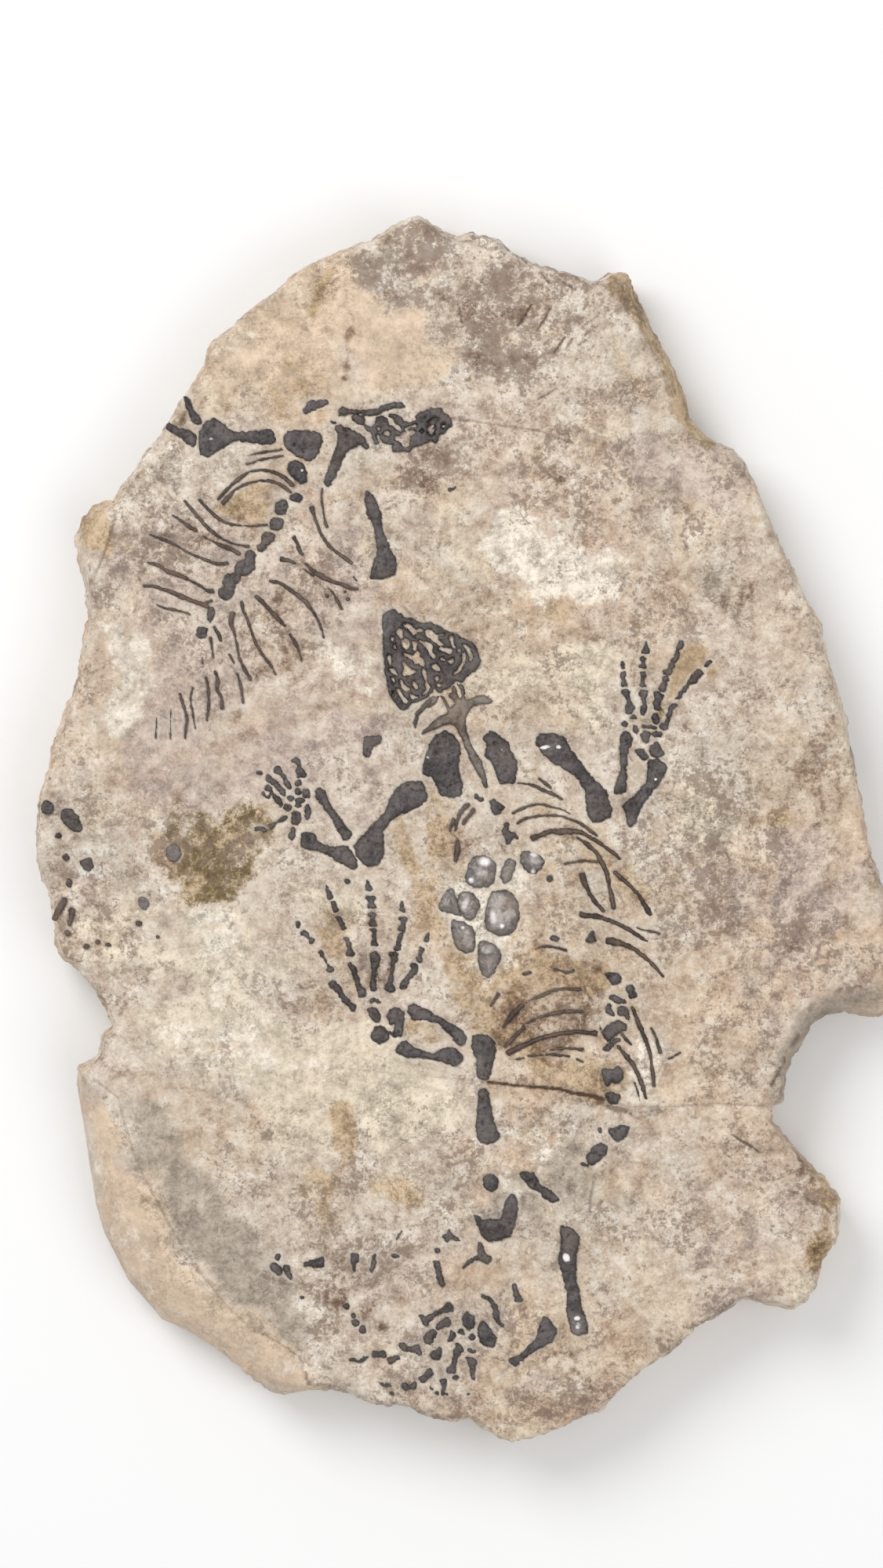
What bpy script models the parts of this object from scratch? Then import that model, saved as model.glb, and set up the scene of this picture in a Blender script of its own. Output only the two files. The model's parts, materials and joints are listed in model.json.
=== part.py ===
"""A fossil slab: a stone nodule split along its bedding, with a small reptile's skeleton laid out on the open face,
part of a second skeleton beside it, and a cluster of rounded pebbles where its stomach was.

Left and right are as seen from above, with the main skull towards +Y.
"""
import bmesh
import bpy

# Driving dimensions, metres.
SLAB_THICKNESS = 0.028
PLAN_STEP = 0.00025
BONE_DEPTH = 0.0012
BONE_CROWN = 0.0009
RIB_CROWN = 0.0006
PEBBLE_CROWN = 0.0012
SKULL_FLOOR = 0.0003
CROWN_INSET = 0.00025
FIT_GAP = 0.0003
CUTTER_RISE = 0.002
MITRE_FLOOR = 0.6

# The slab's side, as (height over thickness, share of the rim's width that lies outside, scale of the outline).
SIDE_RINGS = (
    (0.00, 0.0, 0.925),
    (0.14, 0.0, 0.985),
    (0.42, 0.0, 1.0),
    (0.66, 0.12, 1.0),
    (0.87, 0.5, 1.0),
    (1.00, 1.0, 1.0),
)

# A pebble's domed top, as (height over crown, scale of its outline about its middle).
PEBBLE_RINGS = ((0.55, 0.93), (0.85, 0.75), (1.0, 0.5))

# Colours, as linear red, green and blue.
STONE_COLOUR = (0.52, 0.43, 0.33)
BONE_COLOUR = (0.075, 0.07, 0.068)
RIB_COLOUR = (0.11, 0.08, 0.06)
PEBBLE_COLOUR = (0.25, 0.23, 0.21)
STONE_ROUGHNESS = 0.9
BONE_ROUGHNESS = 0.45
PEBBLE_ROUGHNESS = 0.3

# The plan is drawn on a grid of PLAN_STEP, with x to the right and y down from the sheet's upper left corner.
# Slab edge, clockwise, as x, y and the width of the sloping rim between this edge and the flat face.
SLAB_EDGE = (
    (532, 273, 7), (561, 291, 7), (581, 302, 7), (600, 295, 6), (637, 303, 6), (649, 319, 7), (677, 334, 8),
    (723, 345, 7), (756, 357, 8), (779, 346, 14), (797, 344, 20), (808, 355, 20), (816, 383, 18), (830, 411, 14),
    (843, 441, 12), (864, 475, 18), (876, 505, 22), (881, 531, 22), (899, 556, 12), (938, 572, 8), (960, 607, 8),
    (975, 641, 8), (990, 682, 8), (1010, 717, 8), (1025, 755, 8), (1046, 793, 8), (1057, 840, 8), (1075, 896, 8),
    (1087, 952, 8), (1100, 1020, 8), (1114, 1100, 8), (1128, 1140, 8), (1142, 1190, 10), (1150, 1240, 14),
    (1144, 1280, 30), (1126, 1299, 30), (1097, 1294, 32), (1079, 1291, 32), (1056, 1295, 22), (1036, 1307, 14),
    (1028, 1327, 12), (1012, 1347, 11), (1005, 1370, 9), (1000, 1404, 6), (986, 1412, 5), (985, 1431, 5),
    (1005, 1455, 8), (1028, 1480, 8), (1052, 1506, 8), (1073, 1533, 8), (1070, 1579, 8), (1048, 1619, 8),
    (1043, 1642, 7), (1028, 1662, 7), (1012, 1671, 7), (985, 1665, 7), (946, 1659, 7), (929, 1673, 7),
    (889, 1695, 7), (856, 1727, 7), (830, 1740, 7), (806, 1761, 7), (766, 1801, 7), (741, 1811, 7),
    (718, 1821, 7), (693, 1834, 7), (654, 1841, 7), (637, 1837, 7), (598, 1811, 6), (581, 1816, 6),
    (553, 1809, 6), (522, 1797, 6), (494, 1795, 6), (469, 1788, 6), (446, 1779, 6), (418, 1774, 7),
    (396, 1775, 9), (382, 1779, 16), (362, 1785, 34), (341, 1780, 46), (319, 1761, 48), (282, 1731, 50),
    (238, 1702, 58), (204, 1687, 64), (160, 1635, 70), (130, 1576, 70), (119, 1539, 66), (110, 1480, 56),
    (102, 1428, 44), (95, 1384, 26), (97, 1365, 14), (125, 1347, 8), (127, 1324, 6), (143, 1310, 6),
    (134, 1287, 7), (116, 1258, 8), (93, 1234, 9), (72, 1217, 9), (66, 1182, 8), (63, 1149, 8), (46, 1099, 8),
    (44, 1061, 8), (50, 1014, 8), (69, 944, 8), (84, 900, 8), (94, 878, 8), (103, 831, 8), (110, 787, 8),
    (107, 746, 10), (99, 714, 24), (93, 688, 34), (100, 658, 36), (122, 641, 24), (143, 638, 16), (180, 583, 9),
    (209, 545, 8), (233, 504, 8), (247, 483, 8), (262, 457, 8), (264, 442, 8), (294, 416, 8), (318, 393, 7),
    (344, 375, 7), (368, 351, 7), (403, 331, 7), (432, 318, 7), (473, 303, 7), (491, 293, 6), (511, 282, 7),
)

# Bones drawn by their outlines.
SKULL = (
    (487, 785), (495, 777), (504, 779), (515, 788), (533, 794), (553, 797), (572, 805), (590, 815), (603, 821),
    (612, 845), (604, 858), (591, 867), (577, 868), (572, 883), (556, 883), (534, 897), (520, 906), (505, 904),
    (498, 889), (490, 855), (489, 815),
)
# The skull's walls and palate ridges, by centre lines of x, y and width.
SKULL_RIDGES = (
    ((497, 791, 12), (497, 815, 13), (498, 845, 11), (505, 870, 10), (512, 890, 12)),
    ((512, 796, 7), (545, 802, 7), (578, 814, 7), (590, 821, 6)),
    ((598, 826, 5), (606, 844, 6), (599, 855, 5), (585, 863, 6)),
    ((513, 806, 5), (532, 810, 5), (548, 815, 5)),
    ((540, 818, 5), (552, 824, 6), (566, 832, 5)),
    ((512, 829, 6), (532, 836, 5), (547, 849, 7)),
    ((516, 846, 6), (529, 857, 6), (540, 871, 7)),
    ((553, 834, 5), (568, 841, 6), (583, 840, 6)),
    ((552, 849, 7), (564, 854, 8), (576, 858, 6)),
    ((545, 855, 6), (551, 872, 8), (564, 877, 6)),
    ((516, 873, 7), (530, 881, 6), (546, 882, 5)),
)
INTERCLAVICLE = (
    (568, 889), (574, 899), (584, 893), (600, 893), (612, 888), (620, 887), (628, 893), (623, 898), (612, 898),
    (603, 901), (595, 910), (595, 930), (601, 948), (613, 972), (620, 990), (623, 1003), (619, 1006), (612, 992),
    (598, 966), (590, 944), (580, 926), (564, 926), (545, 934), (539, 935), (543, 929), (558, 917), (569, 911),
    (570, 902),
)
CLAVICLE = (
    (560, 889), (548, 893), (538, 903), (530, 914), (528, 924), (533, 930), (536, 919), (542, 908), (556, 895),
)
LEFT_CORACOID = (
    (567, 931), (575, 936), (586, 948), (586, 962), (584, 976), (586, 990), (590, 1004), (587, 1014), (578, 1017),
    (560, 1013), (556, 998), (550, 991), (539, 987), (543, 965), (549, 948), (556, 938),
)
RIGHT_CORACOID = (
    (615, 941), (620, 935), (628, 932), (640, 941), (647, 945), (651, 957), (659, 972), (659, 986), (656, 999),
    (646, 999), (638, 1000), (630, 978), (625, 968), (617, 963), (622, 953),
)
LEFT_HUMERUS = (
    (519, 997), (538, 997), (544, 1010), (544, 1020), (530, 1031), (508, 1039), (495, 1049), (488, 1062),
    (489, 1085), (486, 1097), (478, 1105), (468, 1105), (453, 1090), (452, 1078), (462, 1066), (478, 1050),
    (490, 1038), (499, 1016), (506, 1005),
)
LEFT_RADIUS = (
    (401, 1009), (408, 1005), (414, 1009), (421, 1027), (431, 1039), (441, 1054), (449, 1063), (446, 1069),
    (438, 1072), (431, 1058), (420, 1040), (404, 1020),
)
LEFT_ULNA = (
    (384, 1063), (391, 1061), (400, 1064), (408, 1075), (421, 1080), (441, 1079), (453, 1092), (456, 1107),
    (450, 1109), (431, 1098), (408, 1086), (384, 1081),
)
RIGHT_HUMERUS = (
    (683, 944), (689, 935), (705, 936), (717, 938), (727, 955), (741, 974), (755, 992), (773, 1008), (776, 1020),
    (780, 1031), (778, 1042), (765, 1050), (755, 1048), (748, 1036), (746, 1010), (738, 994), (724, 983),
    (706, 973), (690, 962),
)
RIGHT_RADIUS = (
    (791, 938), (797, 933), (804, 937), (807, 943), (800, 961), (798, 980), (799, 1008), (793, 1013), (783, 1012),
    (784, 1003), (791, 984), (792, 960),
)
RIGHT_ULNA = (
    (827, 971), (836, 968), (845, 972), (850, 979), (847, 990), (832, 1010), (818, 1028), (809, 1052), (802, 1055),
    (798, 1046), (799, 1038), (793, 1028), (810, 1015), (825, 996), (826, 984),
)
UPPER_FEMUR = (
    (603, 1320), (620, 1320), (631, 1330), (632, 1342), (627, 1360), (623, 1378), (609, 1376), (607, 1350),
    (601, 1336),
)
LOWER_FEMUR = (
    (610, 1391), (622, 1388), (624, 1410), (630, 1432), (637, 1452), (623, 1460), (609, 1455), (607, 1432),
    (610, 1405),
)
TIBIA = (
    (520, 1284), (527, 1280), (545, 1289), (565, 1300), (585, 1311), (596, 1321), (593, 1331), (585, 1334),
    (576, 1322), (560, 1305), (540, 1300), (525, 1301),
)
FIBULA = (
    (504, 1340), (510, 1332), (518, 1327), (530, 1338), (552, 1344), (568, 1336), (580, 1337), (590, 1346),
    (589, 1353), (581, 1359), (560, 1353), (542, 1348), (520, 1350),
)
INNER_TARSAL = ((467, 1287), (476, 1285), (483, 1290), (486, 1299), (483, 1304), (476, 1302))
OUTER_TARSAL = (
    (493, 1297), (500, 1286), (509, 1285), (515, 1292), (515, 1306), (512, 1322), (502, 1323), (502, 1313),
    (504, 1306), (497, 1306),
)
HEEL_TARSAL = ((474, 1319), (479, 1310), (488, 1310), (496, 1318), (495, 1327), (484, 1331), (475, 1327))
METATARSAL_1 = (
    (419, 1256), (425, 1250), (430, 1253), (440, 1269), (455, 1285), (451, 1291), (439, 1279), (426, 1262),
)
METATARSAL_2 = (
    (442, 1230), (447, 1227), (452, 1231), (460, 1253), (468, 1269), (458, 1273), (454, 1255), (448, 1238),
)
METATARSAL_3 = (
    (472, 1217), (477, 1214), (484, 1217), (485, 1224), (479, 1238), (478, 1253), (481, 1262), (471, 1264),
    (474, 1247), (474, 1232),
)
METATARSAL_4 = (
    (496, 1215), (503, 1214), (508, 1218), (502, 1236), (501, 1254), (504, 1263), (498, 1266), (492, 1262),
    (496, 1246), (499, 1226),
)
METATARSAL_5 = (
    (523, 1230), (528, 1228), (533, 1234), (532, 1240), (521, 1250), (517, 1262), (511, 1261), (514, 1250),
    (525, 1237),
)
PELVIS_PLATE = (
    (603, 1549), (609, 1549), (614, 1556), (640, 1556), (643, 1536), (652, 1521), (659, 1530), (661, 1542),
    (656, 1562), (650, 1577), (623, 1585), (612, 1572),
)
HIP_SPLINT = (
    (661, 1497), (668, 1495), (682, 1497), (688, 1510), (702, 1519), (715, 1530), (702, 1534), (688, 1521),
    (676, 1513),
)
SECOND_FEMUR = (
    (714, 1562), (730, 1567), (739, 1579), (734, 1604), (734, 1628), (741, 1665), (749, 1690), (750, 1699),
    (737, 1705), (729, 1700), (723, 1678), (723, 1650), (713, 1610), (716, 1587),
)
FAN_BONE = (
    (692, 1681), (698, 1680), (711, 1698), (702, 1713), (684, 1721), (664, 1736), (656, 1743), (648, 1735),
    (665, 1727), (683, 1708), (689, 1690),
)
NECK_VERTEBRA = ((624, 1021), (630, 1019), (636, 1025), (643, 1030), (637, 1037), (630, 1040), (627, 1030))
BACK_VERTEBRA_1 = ((771, 1242), (779, 1240), (790, 1241), (792, 1250), (788, 1256), (780, 1256), (776, 1248))
BACK_VERTEBRA_2 = ((798, 1257), (806, 1256), (813, 1271), (803, 1274), (801, 1266))
BACK_VERTEBRA_3 = (
    (768, 1316), (776, 1308), (788, 1301), (798, 1307), (799, 1313), (783, 1321), (778, 1328), (770, 1324),
)
BACK_VERTEBRA_4 = (
    (767, 1363), (780, 1364), (788, 1360), (794, 1365), (794, 1376), (788, 1382), (780, 1379), (774, 1386),
    (769, 1376),
)
HIP_VERTEBRA = ((772, 1396), (781, 1393), (791, 1398), (787, 1407), (779, 1409))
TAIL_VERTEBRA_1 = ((776, 1440), (793, 1435), (803, 1438), (795, 1453), (787, 1457), (781, 1452))
TAIL_VERTEBRA_2 = (
    (757, 1462), (766, 1458), (775, 1462), (773, 1472), (764, 1480), (757, 1487), (749, 1483), (748, 1475),
)

# The second skeleton's bones.
SECOND_SKULL = (
    (452, 533), (462, 531), (470, 542), (478, 532), (487, 531), (496, 541), (505, 533), (524, 531), (549, 522),
    (560, 524), (570, 531), (575, 541), (566, 552), (557, 564), (547, 558), (527, 568), (518, 577), (501, 575),
    (498, 564), (487, 563), (478, 563), (474, 550), (458, 542),
)
SECOND_LEFT_HUMERUS = (
    (264, 537), (274, 533), (290, 546), (302, 551), (325, 550), (347, 547), (352, 562), (347, 568), (322, 565),
    (302, 562), (282, 571), (264, 584), (254, 578), (254, 551),
)
SECOND_RADIUS = ((233, 507), (238, 505), (246, 522), (257, 537), (253, 544), (244, 537), (240, 523))
SECOND_ULNA = (
    (210, 546), (216, 539), (228, 546), (246, 550), (250, 557), (250, 566), (245, 571), (234, 560),
)
ROUND_PLATE = (
    (362, 557), (368, 550), (390, 548), (408, 552), (411, 562), (404, 582), (393, 588), (375, 581), (364, 570),
)
SHOULDER_PLATE = ((368, 592), (375, 587), (386, 591), (391, 602), (390, 615), (384, 617), (367, 603))
T_BONE = (
    (426, 542), (438, 543), (463, 557), (471, 570), (466, 573), (458, 567), (442, 575), (430, 604), (418, 622),
    (412, 616), (428, 573), (432, 557),
)
SECOND_RIGHT_HUMERUS = (
    (468, 626), (477, 634), (486, 653), (487, 675), (498, 701), (507, 715), (504, 733), (483, 739), (472, 738),
    (475, 722), (481, 706), (479, 677), (468, 655), (465, 634),
)

# Bones drawn by a centre line, as x, y and width.
SECOND_BACKBONE = (
    (379, 633, 12), (371, 637, 9), (362, 641, 15), (357, 652, 18), (351, 661, 14), (351, 669, 18), (341, 682, 17),
    (331, 694, 12), (321, 705, 15), (314, 719, 22), (306, 731, 12), (296, 740, 22), (284, 756, 14),
    (278, 765, 8), (268, 783, 9), (263, 797, 10), (257, 808, 17), (254, 815, 8),
)
UPPER_RIB = (
    (677, 1070, 8), (688, 1066, 6), (702, 1060, 6), (713, 1061, 9), (728, 1060, 7), (742, 1062, 5), (757, 1070, 4),
    (780, 1086, 5), (791, 1096, 4),
)
FORKED_RIB = (
    (744, 1073, 5), (760, 1087, 5), (767, 1099, 6), (774, 1114, 6), (778, 1134, 5), (781, 1149, 6), (783, 1160, 4),
)
LONG_RIB = ((783, 1111, 5), (791, 1119, 6), (803, 1129, 5), (815, 1142, 4), (826, 1161, 7), (830, 1167, 5))
KNOBBED_RIB = ((742, 1113, 8), (744, 1122, 8), (749, 1135, 5), (759, 1151, 5), (771, 1163, 4))
MIDDLE_RIB = (
    (739, 1166, 6), (746, 1168, 7), (763, 1169, 6), (783, 1176, 5), (803, 1186, 5), (818, 1196, 4), (826, 1201, 3),
)
HEADED_RIB = (
    (772, 1200, 7), (782, 1201, 11), (793, 1204, 6), (809, 1210, 5), (826, 1224, 5), (838, 1236, 4),
    (846, 1246, 3),
)
LOIN_RIB_1 = (
    (806, 1284, 4), (814, 1305, 6), (822, 1323, 5), (829, 1344, 4), (831, 1362, 4), (833, 1376, 5), (834, 1387, 4),
)
LOIN_RIB_2 = (
    (787, 1333, 4), (800, 1349, 6), (809, 1360, 5), (818, 1381, 6), (822, 1394, 4), (824, 1402, 3),
)
STAINED_RIB = (
    (761, 1318, 8), (752, 1318, 4), (738, 1316, 5), (718, 1318, 5), (692, 1323, 5), (668, 1333, 6), (646, 1344, 8),
)

# Pebbles, by their outlines.
LARGE_PEBBLE = (
    (627, 1136), (640, 1135), (653, 1138), (661, 1152), (663, 1170), (655, 1191), (642, 1194), (628, 1192),
    (619, 1183), (618, 1161),
)
ROUND_PEBBLE = (
    (599, 1099), (606, 1092), (616, 1090), (628, 1095), (634, 1108), (630, 1127), (619, 1132), (604, 1132),
    (593, 1124), (595, 1109),
)
GREY_PEBBLE = (
    (584, 1142), (591, 1136), (599, 1137), (613, 1150), (608, 1167), (599, 1175), (589, 1168), (583, 1154),
)
SQUARE_PEBBLE = ((574, 1172), (588, 1175), (603, 1182), (606, 1192), (605, 1212), (596, 1216), (580, 1211))
POINTED_PEBBLE = (
    (609, 1201), (619, 1199), (639, 1210), (638, 1226), (627, 1245), (619, 1247), (611, 1237),
)
CRUMBLED_PEBBLE = ((663, 1091), (670, 1084), (690, 1091), (696, 1100), (683, 1115), (672, 1112), (664, 1102))

OUTLINED_BONES = {
    "interclavicle": INTERCLAVICLE,
    "clavicle": CLAVICLE,
    "left_coracoid": LEFT_CORACOID,
    "right_coracoid": RIGHT_CORACOID,
    "left_humerus": LEFT_HUMERUS,
    "left_radius": LEFT_RADIUS,
    "left_ulna": LEFT_ULNA,
    "right_humerus": RIGHT_HUMERUS,
    "right_radius": RIGHT_RADIUS,
    "right_ulna": RIGHT_ULNA,
    "upper_femur": UPPER_FEMUR,
    "lower_femur": LOWER_FEMUR,
    "tibia": TIBIA,
    "fibula": FIBULA,
    "inner_tarsal": INNER_TARSAL,
    "outer_tarsal": OUTER_TARSAL,
    "heel_tarsal": HEEL_TARSAL,
    "metatarsal_1": METATARSAL_1,
    "metatarsal_2": METATARSAL_2,
    "metatarsal_3": METATARSAL_3,
    "metatarsal_4": METATARSAL_4,
    "metatarsal_5": METATARSAL_5,
    "pelvis_plate": PELVIS_PLATE,
    "hip_splint": HIP_SPLINT,
    "second_femur": SECOND_FEMUR,
    "fan_bone": FAN_BONE,
    "neck_vertebra": NECK_VERTEBRA,
    "back_vertebra_1": BACK_VERTEBRA_1,
    "back_vertebra_2": BACK_VERTEBRA_2,
    "back_vertebra_3": BACK_VERTEBRA_3,
    "back_vertebra_4": BACK_VERTEBRA_4,
    "hip_vertebra": HIP_VERTEBRA,
    "tail_vertebra_1": TAIL_VERTEBRA_1,
    "tail_vertebra_2": TAIL_VERTEBRA_2,
    "second_skull": SECOND_SKULL,
    "second_left_humerus": SECOND_LEFT_HUMERUS,
    "second_radius": SECOND_RADIUS,
    "second_ulna": SECOND_ULNA,
    "round_plate": ROUND_PLATE,
    "shoulder_plate": SHOULDER_PLATE,
    "t_bone": T_BONE,
    "second_right_humerus": SECOND_RIGHT_HUMERUS,
}
CENTRE_LINE_BONES = {
    "second_backbone": SECOND_BACKBONE,
    "upper_rib": UPPER_RIB,
    "forked_rib": FORKED_RIB,
    "long_rib": LONG_RIB,
    "knobbed_rib": KNOBBED_RIB,
    "middle_rib": MIDDLE_RIB,
    "headed_rib": HEADED_RIB,
    "loin_rib_1": LOIN_RIB_1,
    "loin_rib_2": LOIN_RIB_2,
    "stained_rib": STAINED_RIB,
}
PEBBLES = {
    "large_pebble": LARGE_PEBBLE,
    "round_pebble": ROUND_PEBBLE,
    "grey_pebble": GREY_PEBBLE,
    "square_pebble": SQUARE_PEBBLE,
    "pointed_pebble": POINTED_PEBBLE,
    "crumbled_pebble": CRUMBLED_PEBBLE,
}


def clear_scene():
    for scene_object in list(bpy.data.objects):
        bpy.data.objects.remove(scene_object)


def plan_centre():
    """The middle of the slab's edge, in plan steps."""
    across = [point[0] for point in SLAB_EDGE]
    down = [point[1] for point in SLAB_EDGE]
    return (min(across) + max(across)) / 2, (min(down) + max(down)) / 2


def to_metres(points):
    """Plan points as metres about the slab's middle, turned to run counter-clockwise."""
    centre_x, centre_y = plan_centre()
    placed = [((p[0] - centre_x) * PLAN_STEP, (centre_y - p[1]) * PLAN_STEP) for p in points]
    if signed_area(placed) < 0:
        placed.reverse()
    return placed


def signed_area(points):
    """Area inside a closed outline, positive where it runs counter-clockwise."""
    following = points[1:] + points[:1]
    return sum(a[0] * b[1] - b[0] * a[1] for a, b in zip(points, following)) / 2


def unit(x, y):
    length = (x * x + y * y) ** 0.5
    return x / length, y / length


def grow(points, distances):
    """Moves each point of a counter-clockwise outline outwards by its own distance."""
    grown = []
    count = len(points)
    for i, (x, y) in enumerate(points):
        before = points[i - 1]
        after = points[(i + 1) % count]
        in_x, in_y = unit(x - before[0], y - before[1])
        out_x, out_y = unit(after[0] - x, after[1] - y)
        normal_x, normal_y = unit(in_y + out_y, -in_x - out_x)
        mitre = distances[i] / max(MITRE_FLOOR, normal_x * in_y - normal_y * in_x)
        grown.append((x + normal_x * mitre, y + normal_y * mitre))
    return grown


def strip_outline(line):
    """The outline of a tapering strip along a centre line of (x, y, width), with blunt pointed ends."""
    left = []
    right = []
    last = len(line) - 1
    for i, (x, y, width) in enumerate(line):
        before = line[max(i - 1, 0)]
        after = line[min(i + 1, last)]
        along_x, along_y = unit(after[0] - before[0], after[1] - before[1])
        left.append((x + along_y * width / 2, y - along_x * width / 2))
        right.append((x - along_y * width / 2, y + along_x * width / 2))
    return left + right[::-1]


def finish_object(name, bm, colour, roughness):
    """Makes the named object from the mesh, with a material of its own."""
    mesh = bpy.data.meshes.new(name)
    bmesh.ops.recalc_face_normals(bm, faces=bm.faces)
    bm.to_mesh(mesh)
    bm.free()
    made = bpy.data.objects.new(name, mesh)
    bpy.context.scene.collection.objects.link(made)
    material = bpy.data.materials.new(name)
    material.use_nodes = True
    shader = material.node_tree.nodes["Principled BSDF"]
    shader.inputs["Base Color"].default_value = (*colour, 1)
    shader.inputs["Roughness"].default_value = roughness
    shader.inputs["Metallic"].default_value = 0
    mesh.materials.append(material)
    return made


def add_loft(bm, rings):
    """A closed solid through rings of points, lowest first, which all run counter-clockwise."""
    rings = [[bm.verts.new(point) for point in ring] for ring in rings]
    bm.faces.new(rings[0][::-1])
    bm.faces.new(rings[-1])
    for lower, upper in zip(rings, rings[1:]):
        for i in range(len(lower)):
            after = (i + 1) % len(lower)
            bm.faces.new((lower[i], lower[after], upper[after], upper[i]))


def add_prism(bm, lower, lower_z, upper, upper_z):
    """A closed solid between two outlines with the same number of points."""
    add_loft(bm, [[(x, y, lower_z) for x, y in lower], [(x, y, upper_z) for x, y in upper]])


def combine(kept, guide, operation):
    """Joins the guide's overlapping bodies to an object, or cuts them from it."""
    guide.hide_render = True
    guide.display_type = "WIRE"
    boolean = kept.modifiers.new(guide.name, "BOOLEAN")
    boolean.operation = operation
    boolean.solver = "EXACT"
    boolean.use_self = True
    boolean.object = guide


def make_slab():
    """The stone body: a flat underside, a bulging side and the flat bedding face."""
    edge = to_metres(SLAB_EDGE)
    rim_widths = [point[2] * PLAN_STEP for point in reversed(SLAB_EDGE)]
    bm = bmesh.new()
    rings = []
    for height, rim_share, scale in SIDE_RINGS:
        ring = grow(edge, [-width * rim_share for width in rim_widths])
        rings.append([(x * scale, y * scale, height * SLAB_THICKNESS) for x, y in ring])
    add_loft(bm, rings)
    return finish_object("matrix_slab", bm, STONE_COLOUR, STONE_ROUGHNESS)


def make_bone(name, outline, crown, colour):
    """A bone that sits in the bedding face and stands a little above it."""
    bm = bmesh.new()
    top = grow(outline, [-CROWN_INSET] * len(outline))
    add_prism(bm, outline, SLAB_THICKNESS - BONE_DEPTH, top, SLAB_THICKNESS + crown)
    return finish_object(name, bm, colour, BONE_ROUGHNESS)


def make_skull(outline):
    """The skull: a low floor with its walls and palate ridges standing on it."""
    skull = make_bone("skull", outline, SKULL_FLOOR, BONE_COLOUR)
    bm = bmesh.new()
    for line in SKULL_RIDGES:
        ridge = to_metres(strip_outline(line))
        add_prism(bm, ridge, SLAB_THICKNESS, ridge, SLAB_THICKNESS + BONE_CROWN)
    ridges = finish_object("skull_ridges", bm, BONE_COLOUR, BONE_ROUGHNESS)
    combine(skull, ridges, "UNION")


def make_pebble(name, outline):
    """A pebble set in the bedding face, with a domed top."""
    bm = bmesh.new()
    middle_x = sum(x for x, y in outline) / len(outline)
    middle_y = sum(y for x, y in outline) / len(outline)
    rings = [(SLAB_THICKNESS - BONE_DEPTH, 1), (SLAB_THICKNESS, 1)]
    rings += [(SLAB_THICKNESS + share * PEBBLE_CROWN, scale) for share, scale in PEBBLE_RINGS]
    add_loft(bm, [
        [(middle_x + (x - middle_x) * scale, middle_y + (y - middle_y) * scale, height) for x, y in outline]
        for height, scale in rings
    ])
    return finish_object(name, bm, PEBBLE_COLOUR, PEBBLE_ROUGHNESS)


def cut_pockets(slab, outlines):
    """Sinks one pocket into the slab for each outline, with the fit gap round and under its bone."""
    bm = bmesh.new()
    for outline in outlines:
        mouth = grow(outline, [FIT_GAP] * len(outline))
        add_prism(bm, mouth, SLAB_THICKNESS - BONE_DEPTH - FIT_GAP, mouth, SLAB_THICKNESS + CUTTER_RISE)
    cutter = finish_object("pocket_cutter", bm, STONE_COLOUR, STONE_ROUGHNESS)
    combine(slab, cutter, "DIFFERENCE")


def main():
    clear_scene()
    slab = make_slab()
    outlines = [to_metres(SKULL)]
    make_skull(outlines[0])
    for name, points in OUTLINED_BONES.items():
        outlines.append(to_metres(points))
        make_bone(name, outlines[-1], BONE_CROWN, BONE_COLOUR)
    for name, line in CENTRE_LINE_BONES.items():
        outlines.append(to_metres(strip_outline(line)))
        make_bone(name, outlines[-1], RIB_CROWN, RIB_COLOUR)
    for name, points in PEBBLES.items():
        outlines.append(to_metres(points))
        make_pebble(name, outlines[-1])
    cut_pockets(slab, outlines)


main()
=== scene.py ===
"""The looks of a fossil slab: a split stone nodule with the dark bones of two small reptiles on its face.

Bones are laid out on a plan with x to the right and y down, one step of which is a quarter of a millimetre.
"""
import json
import math

import bmesh
import bpy
import numpy as np
from bpy.props import FloatProperty, FloatVectorProperty, IntProperty, PointerProperty
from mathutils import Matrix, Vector, geometry, noise
from mathutils.bvhtree import BVHTree
from mathutils.kdtree import KDTree

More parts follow.
